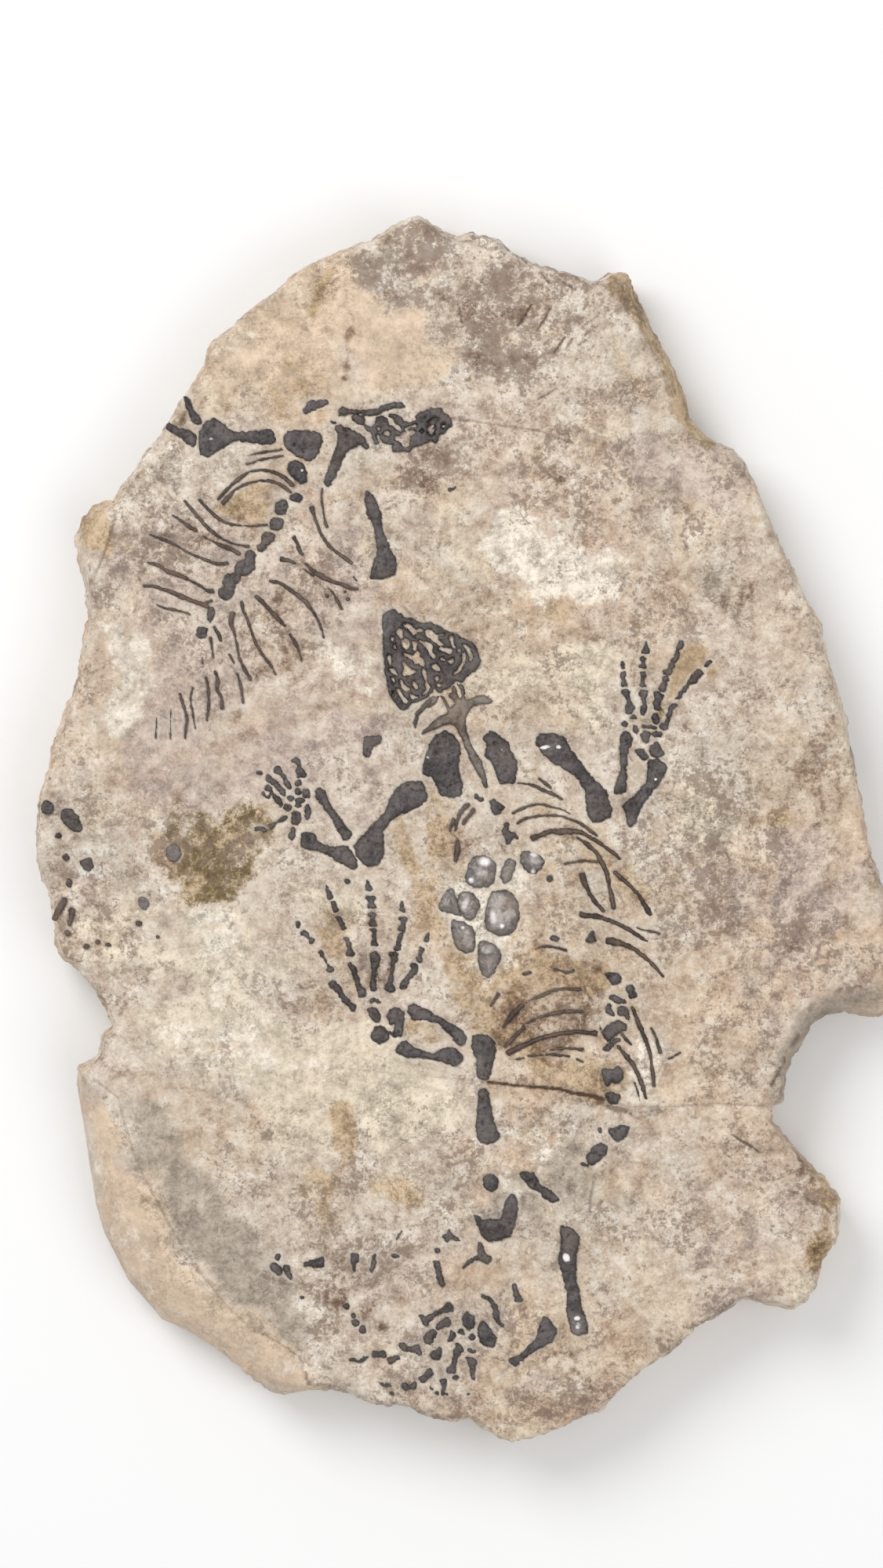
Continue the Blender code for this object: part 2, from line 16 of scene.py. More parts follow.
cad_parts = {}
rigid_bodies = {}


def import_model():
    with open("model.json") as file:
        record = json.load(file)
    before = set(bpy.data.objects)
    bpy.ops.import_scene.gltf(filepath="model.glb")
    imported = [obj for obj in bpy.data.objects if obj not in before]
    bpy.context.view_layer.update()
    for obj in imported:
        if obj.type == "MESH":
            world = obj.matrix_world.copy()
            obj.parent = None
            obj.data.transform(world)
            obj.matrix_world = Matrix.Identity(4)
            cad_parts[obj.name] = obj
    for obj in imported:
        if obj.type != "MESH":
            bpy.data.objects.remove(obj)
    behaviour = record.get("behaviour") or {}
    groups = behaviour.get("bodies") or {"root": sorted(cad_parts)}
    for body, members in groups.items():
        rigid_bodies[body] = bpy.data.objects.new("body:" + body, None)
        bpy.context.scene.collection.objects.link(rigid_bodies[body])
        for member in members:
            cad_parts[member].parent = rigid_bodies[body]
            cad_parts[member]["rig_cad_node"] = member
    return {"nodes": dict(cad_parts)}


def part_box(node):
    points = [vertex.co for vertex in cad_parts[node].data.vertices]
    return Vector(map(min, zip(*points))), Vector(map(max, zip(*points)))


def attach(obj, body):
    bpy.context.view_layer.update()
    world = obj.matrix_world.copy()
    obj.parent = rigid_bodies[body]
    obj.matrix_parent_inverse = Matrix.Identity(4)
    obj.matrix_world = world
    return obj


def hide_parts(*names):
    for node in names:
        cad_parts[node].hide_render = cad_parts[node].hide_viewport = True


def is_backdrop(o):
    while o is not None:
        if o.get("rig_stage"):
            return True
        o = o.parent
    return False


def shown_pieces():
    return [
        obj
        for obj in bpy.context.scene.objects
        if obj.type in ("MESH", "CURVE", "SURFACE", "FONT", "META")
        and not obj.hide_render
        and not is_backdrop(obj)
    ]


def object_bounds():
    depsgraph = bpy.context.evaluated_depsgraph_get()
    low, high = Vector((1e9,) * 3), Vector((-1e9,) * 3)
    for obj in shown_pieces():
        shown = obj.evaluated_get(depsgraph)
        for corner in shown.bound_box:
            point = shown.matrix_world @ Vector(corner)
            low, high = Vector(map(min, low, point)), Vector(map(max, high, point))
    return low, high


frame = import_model()

bl_info = {
    "name": "Fossil Slab",
    "version": (1, 0, 0),
    "blender": (4, 5, 0),
    "location": "3D View > Sidebar > Fossil",
    "description": "Dresses a fossil slab: stone, bones, stomach pebbles and the stage",
    "category": "Mesh",
}

CAD_LOW, CAD_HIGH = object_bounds()
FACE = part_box("matrix_slab")[1].z
# The CAD slab's edge rings, as shares of its height, and the share of its rim from the third to the fifth.
SLAB_HEIGHTS = (0.0, 0.14, 0.42, 0.66, 0.87, 1.0)
WIDEST_RING, UPPER_RING = 2, 4
HALF_RIM = 0.5
# The rings of the flat underside, as scales of the lowest edge ring.
UNDERSIDE_SCALES = (0.97, 0.85, 0.65, 0.45, 0.22)
# The plan: one step in metres, the step at the origin, and the camera's frame and distance.
PLAN_STEP = 0.00025
PLAN_MIDDLE = (597, 1057)
VIEW_CENTRE = (563, 1000)
VIEW_HEIGHT = 2000
CAMERA_DISTANCE = 2.5
# The nodule's outer skin shows left of this corner and below it, and fades in over these lengths.
CORTEX_CORNER = (330, 1375)
CORTEX_FADE = (0.02, 0.006, 0.002)
# A bone starts this deep in the stone. A rod is flattened, and its middle lies this high over the face.
SUNK = 0.001
ROD_LIFT = 0.00018
ROD_FLATNESS = 0.75
OVAL_SIDES = 10
# A skull's pits are cut this much wider on each side, and the second vertebrae are this much narrower.
PIT_WIDENING = 0.00013
VERTEBRA_GAP = 0.00034
# Layers of a bone's relief: name, size of the lumps, depth over the bone relief.
RELIEF_LAYERS = (("lumps", 0.0035, 2.0), ("ragged outline", 0.0012, 3.4), ("pitted surface", 0.0005, 2.0))
MERGE = 0.00001
# Distances at which a bone still shapes the stone beside it, and is looked for over it.
BONE_REACH = 0.004
UNDER_REACH = 0.0025
EXTRA_PEBBLES = {
    "brown_pebble": (
        (559, 1160), (561, 1148), (567, 1138), (576, 1132), (581, 1138), (583, 1150), (586, 1160),
        (591, 1170), (578, 1166), (566, 1163),
    ),
    "narrow_pebble": (
        (645, 1096), (652, 1095), (659, 1101), (656, 1110), (652, 1121), (646, 1127), (641, 1126),
        (638, 1115), (641, 1103),
    ),
}
PEBBLES = (
    "large_pebble", "round_pebble", "grey_pebble", "square_pebble", "pointed_pebble", "crumbled_pebble",
)
# Nodes that get the brown finish of the ribs.
RIBS = (
    "upper_rib", "forked_rib", "long_rib", "knobbed_rib", "middle_rib", "headed_rib", "loin_rib_1",
    "loin_rib_2", "stained_rib", "interclavicle",
)
SECOND_HEAD = "second_skull"
SECOND_SPINE = "second_backbone"

# Bones too small for solids of their own. A shape is an outline of (x, y), a centre line of (x, y, width)
# or one oval of (x, y, width, height).
LEFT_HAND = (
    ((371, 969), (377, 966), (383, 968), (383, 977), (385, 982), (391, 986), (389, 990), (379, 992),
     (378, 985), (380, 978), (377, 973), (372, 972)),
    ((348, 983), (353, 977), (358, 979), (361, 988), (356, 990), (349, 986)),
    ((359, 990), (363, 989), (367, 996), (371, 1001), (370, 1006), (366, 1006), (362, 999)),
    ((338, 991), (342, 987), (346, 990), (352, 997), (358, 1002), (364, 1008), (363, 1016), (359, 1014),
     (352, 1005), (345, 998), (339, 996)),
    ((337, 1003), (342, 1001), (346, 1004), (347, 1009), (353, 1015), (359, 1020), (360, 1028), (357, 1030),
     (353, 1024), (349, 1016), (344, 1010), (338, 1008)),
    ((335, 1010, 3), (340, 1017, 3), (345, 1013, 3)),
    ((343, 1052), (348, 1050), (356, 1045), (361, 1039), (367, 1041), (364, 1046), (355, 1049), (350, 1053),
     (346, 1060), (342, 1056)),
    ((325, 1054), (331, 1056), (336, 1054), (341, 1060), (337, 1062), (331, 1058), (326, 1060)),
    (380, 999, 8, 8), (380, 1009, 7, 8), (391, 1012, 10, 12), (370, 1018, 10, 8), (382, 1021, 12, 7),
    (380, 1027, 7, 7), (367, 1030, 11, 9), (378, 1044, 13, 19), (392, 1035, 8, 19), (374, 1059, 6, 7),
    (372, 1066, 8, 8), (331, 986, 8, 4),
)
LOOSE_FRAGMENT = (
    ((465, 939), (485, 939), (486, 946), (475, 953), (471, 967), (462, 964), (464, 949)),
)
RIGHT_HAND = (
    ((796, 910), (800, 897), (798, 888), (802, 888), (806, 897), (810, 905), (804, 911)),
    ((792, 881), (798, 879), (804, 881), (802, 887), (793, 886)),
    ((791, 857), (799, 857), (798, 862), (796, 866), (800, 875), (791, 876), (794, 868), (791, 862)),
    ((791, 853), (793, 843), (798, 849), (797, 853)),
    ((815, 881), (826, 880), (825, 885), (823, 895), (824, 903), (821, 912), (816, 912), (817, 904),
     (820, 899), (817, 888)),
    ((815, 857), (824, 857), (822, 862), (821, 872), (825, 876), (815, 875), (818, 871), (817, 862)),
    ((817, 837), (826, 840), (822, 841), (822, 848), (825, 850), (824, 852), (815, 852), (815, 848),
     (818, 846)),
    ((824, 816), (826, 825), (828, 833), (817, 834), (821, 827)),
    ((831, 913), (836, 909), (840, 912), (841, 920), (837, 925), (832, 920)),
    ((834, 883), (841, 883), (847, 889), (843, 894), (842, 900), (840, 907), (835, 905), (833, 898),
     (836, 891)),
    ((846, 863), (851, 862), (854, 868), (850, 871), (849, 876), (847, 883), (840, 881), (840, 877),
     (844, 871)),
    ((853, 846), (858, 845), (862, 850), (857, 853), (857, 859), (852, 861), (845, 859), (846, 856),
     (851, 853)),
    ((854, 843), (859, 838), (864, 841), (861, 845), (856, 846)),
    ((860, 832), (864, 829), (868, 832), (866, 837), (863, 842), (860, 840)),
    ((863, 824), (867, 818), (871, 816), (872, 822), (868, 828), (863, 829)),
    ((856, 897), (863, 897), (865, 901), (859, 903), (855, 914), (852, 921), (852, 929), (846, 932),
     (840, 925), (848, 921), (852, 910), (855, 900)),
    ((859, 892), (865, 886), (871, 877), (876, 872), (880, 865), (886, 858), (889, 853), (893, 853),
     (898, 858), (891, 864), (887, 869), (880, 873), (875, 881), (866, 891)),
    ((896, 850), (901, 847), (903, 842), (908, 844), (902, 849)),
    ((806, 924), (812, 926), (815, 932), (811, 937), (807, 932)), ((819, 926, 4), (838, 929, 4)),
    ((815, 936), (822, 932), (829, 934), (829, 941), (823, 947), (817, 942)),
    ((829, 951), (833, 950), (835, 946), (839, 946), (841, 950), (844, 953), (844, 958), (847, 961),
     (844, 964), (838, 966), (833, 965), (830, 961), (828, 956)),
    ((809, 957), (816, 955), (821, 957), (825, 960), (827, 965), (824, 970), (819, 969), (815, 964),
     (811, 961)),
    (838, 936, 12, 8), (796, 924, 9, 8), (808, 915, 9, 4),
)
LEFT_TOES = (
    ((405, 1215), (409, 1212), (412, 1216), (416, 1224), (420, 1233), (425, 1237), (420, 1240), (416, 1238),
     (417, 1232), (412, 1222), (407, 1218)),
    ((383, 1190), (388, 1186), (391, 1189), (396, 1196), (402, 1198), (398, 1203), (394, 1204), (395, 1199),
     (389, 1193), (385, 1193)),
    ((376, 1176), (384, 1177), (380, 1184)),
    ((436, 1195), (445, 1195), (446, 1200), (448, 1210), (452, 1216), (450, 1219), (441, 1219), (444, 1213),
     (441, 1202)),
    ((427, 1169), (434, 1168), (437, 1175), (441, 1182), (443, 1185), (436, 1186), (434, 1180), (431, 1174)),
    ((421, 1150), (428, 1149), (429, 1154), (432, 1161), (425, 1164), (425, 1158)),
    ((417, 1146), (415, 1126), (426, 1146)),
    ((470, 1185), (480, 1184), (480, 1190), (479, 1200), (482, 1206), (472, 1207), (475, 1200), (475, 1191)),
    ((470, 1164), (479, 1164), (478, 1172), (481, 1181), (470, 1181), (472, 1173)),
    ((467, 1144), (479, 1143), (477, 1150), (480, 1158), (468, 1158), (471, 1150)),
    ((466, 1136), (468, 1121), (475, 1135)),
    ((508, 1190), (516, 1188), (512, 1195), (510, 1205), (511, 1212), (502, 1211), (506, 1204), (507, 1195)),
    ((508, 1170), (520, 1170), (519, 1174), (515, 1176), (517, 1187), (507, 1187), (511, 1180), (511, 1174)),
    ((509, 1163), (512, 1148), (518, 1164)),
    ((535, 1207), (542, 1210), (538, 1214), (537, 1220), (538, 1228), (534, 1226), (529, 1222), (535, 1219),
     (535, 1213)),
    ((540, 1200), (548, 1186), (546, 1203)),
    ((471, 1276), (477, 1273), (483, 1276), (486, 1280), (482, 1280), (477, 1277), (472, 1279)),
    (443, 1124, 6, 6), ((496, 1316, 4), (504, 1322, 4)),
)
TRUNK_BITS = (
    ((607, 1013), (617, 1019), (614, 1023), (604, 1018)),
    ((644, 1049), (650, 1050), (648, 1058), (652, 1063), (659, 1063), (660, 1069), (652, 1070), (652, 1075),
     (645, 1078), (644, 1070), (640, 1062), (643, 1056)),
    ((747, 1199), (751, 1197), (751, 1190), (757, 1186), (759, 1196), (761, 1200), (750, 1202)),
    ((582, 872, 4), (590, 878, 4), (591, 892, 4)), (701, 1121, 7, 7), (708, 1197, 10, 7),
    ((776, 1271), (783, 1269), (792, 1273), (800, 1279), (793, 1280), (784, 1279), (778, 1275)),
    ((771, 1285), (778, 1280), (781, 1288), (783, 1296), (777, 1295), (772, 1290)),
    ((787, 1285), (799, 1283), (803, 1292), (801, 1301), (796, 1295), (790, 1297)),
    ((780, 1330), (783, 1324), (792, 1325), (790, 1328), (784, 1331), (778, 1339), (768, 1340), (772, 1335)),
    ((764, 1306, 3), (766, 1313, 3)), (765, 1442, 4, 8), ((740, 1484, 4), (750, 1487, 5)),
)
PELVIS_BITS = (
    ((617, 1500), (624, 1497), (632, 1500), (635, 1508), (632, 1518), (625, 1520), (617, 1515)),
    ((614, 1653, 5), (624, 1657, 6), (630, 1665, 7), (633, 1676, 8), (635, 1685, 7), (643, 1691, 5)),
    ((654, 1640), (657, 1637), (661, 1646), (668, 1657), (664, 1661), (656, 1660), (655, 1650)),
    ((610, 1584), (616, 1587), (618, 1598), (625, 1603), (627, 1608), (618, 1613), (614, 1608), (606, 1607),
     (598, 1612), (589, 1619), (595, 1609), (604, 1604), (610, 1600), (608, 1592)),
    ((563, 1578), (570, 1574), (573, 1567), (577, 1574), (583, 1578), (588, 1584), (580, 1583), (574, 1580),
     (569, 1585), (568, 1580)),
    ((552, 1609), (560, 1607), (563, 1622), (567, 1637), (563, 1643), (559, 1636), (556, 1622), (553, 1612)),
    (558, 1595, 6, 6),
)
RIGHT_FOOT = (
    ((534, 1678), (539, 1677), (541, 1680), (549, 1676), (562, 1670), (567, 1664), (576, 1661), (577, 1666),
     (579, 1673), (570, 1674), (558, 1678), (551, 1683), (546, 1686), (545, 1691), (540, 1689), (537, 1683)),
    ((563, 1684), (570, 1679), (575, 1684), (574, 1691), (566, 1693), (558, 1697), (555, 1693)),
    ((539, 1705), (545, 1700), (554, 1696), (557, 1700), (552, 1708), (549, 1717), (542, 1713)),
    ((574, 1696), (580, 1699), (582, 1704), (575, 1711), (570, 1711), (574, 1703)),
    ((584, 1696), (590, 1695), (593, 1702), (588, 1702), (582, 1700)), (602, 1705, 9, 8),
    ((591, 1678), (595, 1672), (600, 1677), (605, 1680), (604, 1692), (597, 1697), (592, 1690), (589, 1683)),
    ((610, 1692), (616, 1685), (622, 1691), (628, 1698), (633, 1708), (630, 1716), (621, 1718), (612, 1713),
     (609, 1702)),
    ((547, 1728), (555, 1722), (562, 1718), (565, 1724), (560, 1735), (552, 1733)),
    ((583, 1713), (588, 1716), (590, 1724), (584, 1730), (582, 1742), (580, 1752), (570, 1751), (570, 1746),
     (576, 1740), (578, 1728), (580, 1718)),
    ((594, 1731), (602, 1732), (608, 1736), (606, 1745), (605, 1756), (606, 1763), (602, 1760), (600, 1748),
     (597, 1740)),
    ((598, 1720, 3), (602, 1725, 3), (606, 1724, 3)),
    ((510, 1714), (515, 1713), (520, 1717), (526, 1719), (530, 1715), (535, 1714), (536, 1722), (539, 1728),
     (532, 1728), (525, 1724), (518, 1723), (513, 1723), (510, 1718)),
    ((494, 1732), (501, 1731), (508, 1729), (510, 1734), (503, 1736), (499, 1741), (495, 1738)),
    ((475, 1723), (482, 1725), (490, 1723), (491, 1732), (483, 1730), (475, 1732)),
    ((455, 1737), (462, 1731), (471, 1730), (468, 1733), (460, 1738)), ((445, 1735, 4), (455, 1735, 4)),
    ((533, 1758), (541, 1753), (547, 1747), (553, 1752), (546, 1758), (538, 1763)),
    ((512, 1765), (517, 1764), (523, 1767), (530, 1762), (531, 1773), (523, 1770), (517, 1773), (513, 1770)),
    ((481, 1762, 2), (489, 1766, 4), (498, 1768, 5)),
    ((560, 1759), (570, 1759), (570, 1766), (566, 1776), (574, 1779), (563, 1779), (564, 1770)),
    (581, 1757, 9, 7), (557, 1777, 6, 6), (500, 1778, 5, 5), (442, 1666, 6, 6), (451, 1678, 6, 6),
    (597, 1778, 4, 4), (453, 1687, 9, 9), (462, 1696, 8, 9), ((548, 1769, 4), (552, 1773, 4)),
)
SCATTERED_ROW = (
    (354, 1603, 8, 8), ((343, 1616), (349, 1610), (358, 1617), (360, 1625), (354, 1625), (350, 1622)),
    ((362, 1614), (368, 1615), (372, 1626), (371, 1634), (366, 1630), (362, 1620)),
    ((387, 1611), (392, 1610), (398, 1608), (405, 1606), (414, 1604), (413, 1616), (405, 1617), (393, 1614),
     (388, 1616)),
    ((447, 1599), (457, 1599), (457, 1606), (454, 1615), (453, 1623), (450, 1622), (449, 1612), (447, 1606)),
    ((476, 1601), (480, 1600), (478, 1612), (475, 1623), (472, 1623), (474, 1612)),
    ((505, 1582, 3), (513, 1569, 3)), (504, 1602, 10, 4), (385, 1655, 5, 3),
)
EDGE_BONES = (
    (221, 1088, 19, 23), (183, 1152, 12, 15),
    ((53, 1024), (60, 1020), (68, 1026), (68, 1037), (60, 1039), (53, 1034)),
    ((82, 1031), (92, 1033), (101, 1044), (106, 1056), (100, 1062), (88, 1056), (79, 1047), (78, 1037)),
    ((101, 1098), (116, 1094), (119, 1104), (113, 1112), (104, 1106)), (84, 1094, 9, 7), (88, 1126, 7, 10),
    (91, 1161, 6, 9), (82, 1148, 6, 5), (74, 1066, 8, 6),
)
SECOND_JAW = (
    ((431, 532), (432, 522), (437, 519), (445, 523), (470, 523), (480, 521), (490, 518), (500, 514),
     (508, 513), (518, 519), (508, 519), (498, 521), (488, 525), (480, 530), (470, 531), (458, 528),
     (445, 528)),
    ((386, 524), (391, 516), (397, 511), (418, 511), (418, 515), (409, 520), (401, 521), (393, 526),
     (388, 528)),
    ((421, 537, 4), (428, 540, 4)), ((572, 625, 4), (583, 622, 4)), ((450, 735, 4), (455, 742, 4)),
    (417, 760, 5, 6), (440, 755, 4, 4), (443, 764, 4, 4),
)
SMALL_BONES = {
    "left_hand": LEFT_HAND, "loose_fragment": LOOSE_FRAGMENT, "right_hand": RIGHT_HAND,
    "left_toes": LEFT_TOES, "trunk_bits": TRUNK_BITS, "pelvis_bits": PELVIS_BITS, "right_foot": RIGHT_FOOT,
    "scattered_row": SCATTERED_ROW, "edge_bones": EDGE_BONES, "second_jaw": SECOND_JAW,
}
EDGE_FLAKES = (
    ((66, 1172), (72, 1156), (80, 1146), (86, 1148), (78, 1164), (71, 1176)),
    ((86, 1180), (89, 1160), (96, 1158), (93, 1172), (90, 1182)), (86, 1190, 8, 8), (110, 1207, 8, 7),
    (125, 1202, 6, 6), (138, 1205, 9, 5), (177, 1178, 9, 7), (84, 1094, 6, 10), (201, 1195, 5, 5),
)
UPPER_LEFT_RIBS = (
    ((599, 1025, 6), (591, 1032, 7), (586, 1039, 6), (583, 1048, 5), (580, 1061, 4)),
    ((605, 1031, 7), (600, 1039, 6), (594, 1045, 6), (590, 1052, 4)),
    ((579, 1044, 4), (576, 1053, 5), (573, 1061, 3)), ((584, 1071, 5), (583, 1085, 9), (580, 1099, 5)),
)
UPPER_RIGHT_RIBS = (
    ((659, 999, 3), (672, 1000, 4), (683, 1003, 6), (693, 1008, 6), (705, 1013, 5), (718, 1020, 4)),
    ((687, 993, 4), (695, 999, 6), (703, 1006, 5)),
    ((652, 1038, 4), (662, 1033, 5), (675, 1028, 4), (690, 1026, 4), (702, 1029, 4), (715, 1032, 3),
     (727, 1038, 3)),
    ((659, 1051, 3), (668, 1045, 4), (680, 1042, 4), (700, 1040, 4), (715, 1041, 4), (730, 1046, 4),
     (743, 1052, 6), (753, 1060, 6), (762, 1066, 4)),
    ((719, 1102, 5), (730, 1100, 4), (745, 1098, 4), (760, 1099, 3), (767, 1098, 3)),
    ((735, 1068, 4), (750, 1077, 5), (762, 1088, 5)),
    ((811, 1183, 2), (820, 1186, 3), (830, 1188, 4), (841, 1191, 4)),
)
STAINED_RIBS = (
    ((683, 1210, 3), (697, 1207, 5), (710, 1209, 4), (723, 1212, 6)),
    ((705, 1236, 4), (715, 1238, 3), (724, 1240, 6), (733, 1237, 6)),
    ((741, 1262, 5), (722, 1261, 5), (703, 1264, 5), (690, 1270, 5), (678, 1275, 4), (669, 1279, 2)),
    ((667, 1281, 6), (657, 1291, 8), (648, 1302, 6), (641, 1312, 4)),
    ((744, 1291, 5), (728, 1290, 6), (710, 1292, 6), (696, 1295, 5), (684, 1299, 3), (672, 1306, 3)),
    ((669, 1309, 6), (660, 1319, 5), (651, 1328, 5), (643, 1336, 5)),
    ((744, 1339, 6), (735, 1338, 5), (722, 1337, 4), (710, 1338, 3), (701, 1340, 3)),
    ((727, 1347, 4), (715, 1346, 4), (700, 1345, 3), (688, 1346, 3), (673, 1347, 3)),
    ((735, 1350, 4), (744, 1355, 4)), ((657, 1352, 2), (663, 1350, 4), (669, 1349, 3)),
    ((636, 1267, 5), (631, 1275, 5), (625, 1284, 3)), ((666, 1243, 4), (678, 1240, 4)),
)
LOIN_RIBS = (
    ((830, 1311, 3), (836, 1322, 4), (839, 1332, 5), (842, 1343, 6)),
    ((790, 1314, 5), (800, 1328, 5), (806, 1333, 4)), ((809, 1380, 3), (813, 1392, 3), (816, 1405, 2)),
    ((852, 1351, 3), (860, 1347, 3), (868, 1342, 3)),
)
SECOND_RIBS = (
    ((315, 582, 2), (325, 579, 3), (340, 576, 4), (352, 575, 4), (360, 573, 4)),
    ((314, 592, 4), (322, 590, 3), (330, 587, 4), (345, 584, 4), (362, 581, 3)),
    ((277, 638, 5), (286, 628, 5), (296, 618, 4), (308, 608, 6), (318, 602, 3), (330, 600, 4), (345, 601, 5),
     (358, 606, 6), (368, 614, 7), (374, 620, 6)),
    ((283, 643, 7), (291, 634, 7), (300, 625, 4), (310, 619, 4), (322, 615, 4), (337, 613, 4), (350, 615, 5),
     (362, 621, 6), (372, 629, 5)),
    ((254, 637, 5), (261, 645, 5), (270, 654, 5), (280, 662, 6), (292, 668, 5), (305, 670, 3), (320, 671, 3),
     (333, 670, 5), (342, 669, 4)),
    ((235, 638, 5), (243, 648, 5), (252, 659, 5), (262, 670, 6), (272, 679, 6), (283, 687, 4), (297, 693, 3),
     (310, 696, 3), (318, 697, 6)),
    ((220, 657, 3), (231, 664, 5), (243, 673, 6), (252, 677, 7)),
    ((258, 683, 2), (270, 690, 3), (285, 697, 6), (300, 703, 7), (306, 707, 6)),
    ((191, 682, 3), (205, 687, 5), (220, 693, 5), (235, 702, 4), (250, 709, 4), (265, 715, 5), (278, 719, 6),
     (291, 718, 6)),
    ((187, 717, 4), (202, 721, 6), (213, 728, 6), (227, 733, 8), (240, 739, 4), (255, 747, 5), (267, 754, 7),
     (273, 753, 8)),
    ((182, 747, 5), (197, 748, 5), (215, 754, 6), (232, 761, 8), (245, 766, 6), (258, 771, 7), (266, 774, 6)),
    ((262, 769, 4), (271, 766, 4)),
    ((198, 770, 3), (208, 775, 4), (222, 778, 5), (235, 781, 4), (243, 784, 4)),
    ((411, 622, 4), (410, 635, 4), (412, 650, 4), (414, 662, 3), (417, 673, 5)),
    ((397, 646, 10), (400, 656, 6), (404, 668, 4), (410, 682, 5), (418, 694, 6), (430, 705, 5), (440, 712, 6),
     (449, 719, 6)),
    ((374, 684, 7), (379, 693, 5), (382, 702, 6), (386, 708, 5)),
    ((389, 718, 4), (398, 727, 6), (408, 734, 8), (420, 740, 7), (432, 744, 6), (444, 749, 6), (457, 752, 5)),
    ((357, 713, 8), (368, 715, 5), (378, 719, 4)), ((386, 725, 3), (400, 735, 3)),
    ((419, 750, 3), (427, 760, 4), (432, 770, 6), (436, 778, 6)),
    ((343, 741, 5), (357, 744, 5), (371, 753, 7), (383, 762, 7), (394, 773, 6), (402, 785, 5), (408, 797, 5),
     (411, 806, 4), (413, 815, 3)),
    ((325, 760, 6), (333, 766, 7), (342, 776, 6), (352, 786, 7), (364, 799, 4)),
    ((369, 808, 5), (376, 820, 6), (381, 830, 3), (385, 845, 3)),
    ((308, 766, 6), (310, 778, 5), (315, 790, 5), (320, 803, 4), (326, 820, 5), (335, 835, 5), (345, 848, 5),
     (352, 861, 3)),
    ((297, 780, 8), (294, 792, 8), (299, 808, 4), (302, 822, 4), (305, 838, 4), (311, 852, 6), (320, 867, 6)),
    ((273, 799, 5), (278, 808, 6), (282, 818, 4)), ((292, 834, 5), (299, 847, 3)),
    ((302, 858, 4), (307, 875, 5), (310, 897, 5)), ((268, 812, 6), (270, 825, 4), (272, 840, 3)),
    ((274, 855, 4), (278, 868, 6), (277, 880, 4), (282, 890, 5), (283, 905, 6)),
    ((263, 863, 4), (265, 875, 5), (266, 895, 4), (264, 920, 4)),
    ((246, 876, 3), (243, 892, 3), (245, 905, 4), (249, 930, 3)),
    ((229, 884, 5), (234, 900, 5), (238, 915, 5), (237, 930, 5), (236, 943, 4)),
    ((218, 902, 2), (217, 943, 3)), ((200, 915, 3), (198, 943, 3)), ((258, 838, 3), (258, 848, 4)),
)
THIN_RIBS = {
    "edge_flakes": EDGE_FLAKES, "upper_left_ribs": UPPER_LEFT_RIBS, "upper_right_ribs": UPPER_RIGHT_RIBS,
    "stained_ribs": STAINED_RIBS, "loin_ribs": LOIN_RIBS, "second_ribs": SECOND_RIBS,
}
# The separate blocks of the second animal's backbone.
SECOND_VERTEBRAE = (
    ((370, 630), (376, 627), (385, 630), (387, 637), (381, 643), (372, 641), (367, 637)),
    ((351, 640), (360, 635), (368, 638), (368, 648), (366, 657), (354, 658), (349, 652)),
    ((343, 663), (352, 658), (362, 661), (361, 671), (355, 678), (345, 676)),
    ((331, 682), (340, 677), (352, 680), (350, 690), (342, 696), (332, 694)),
    ((326, 695), (338, 692), (341, 699), (335, 706), (326, 704)),
    ((313, 703), (322, 701), (329, 707), (326, 716), (318, 722), (311, 714)),
    ((300, 718), (311, 712), (325, 716), (327, 724), (318, 734), (303, 736), (298, 728)),
    ((285, 735), (296, 728), (309, 732), (306, 743), (299, 753), (288, 752), (283, 744)),
    ((278, 751), (290, 746), (301, 751), (298, 761), (288, 767), (278, 763)),
    ((265, 776), (271, 772), (276, 779), (273, 790), (268, 797), (263, 790)),
    ((250, 799), (259, 797), (267, 802), (265, 811), (257, 817), (248, 812)),
)
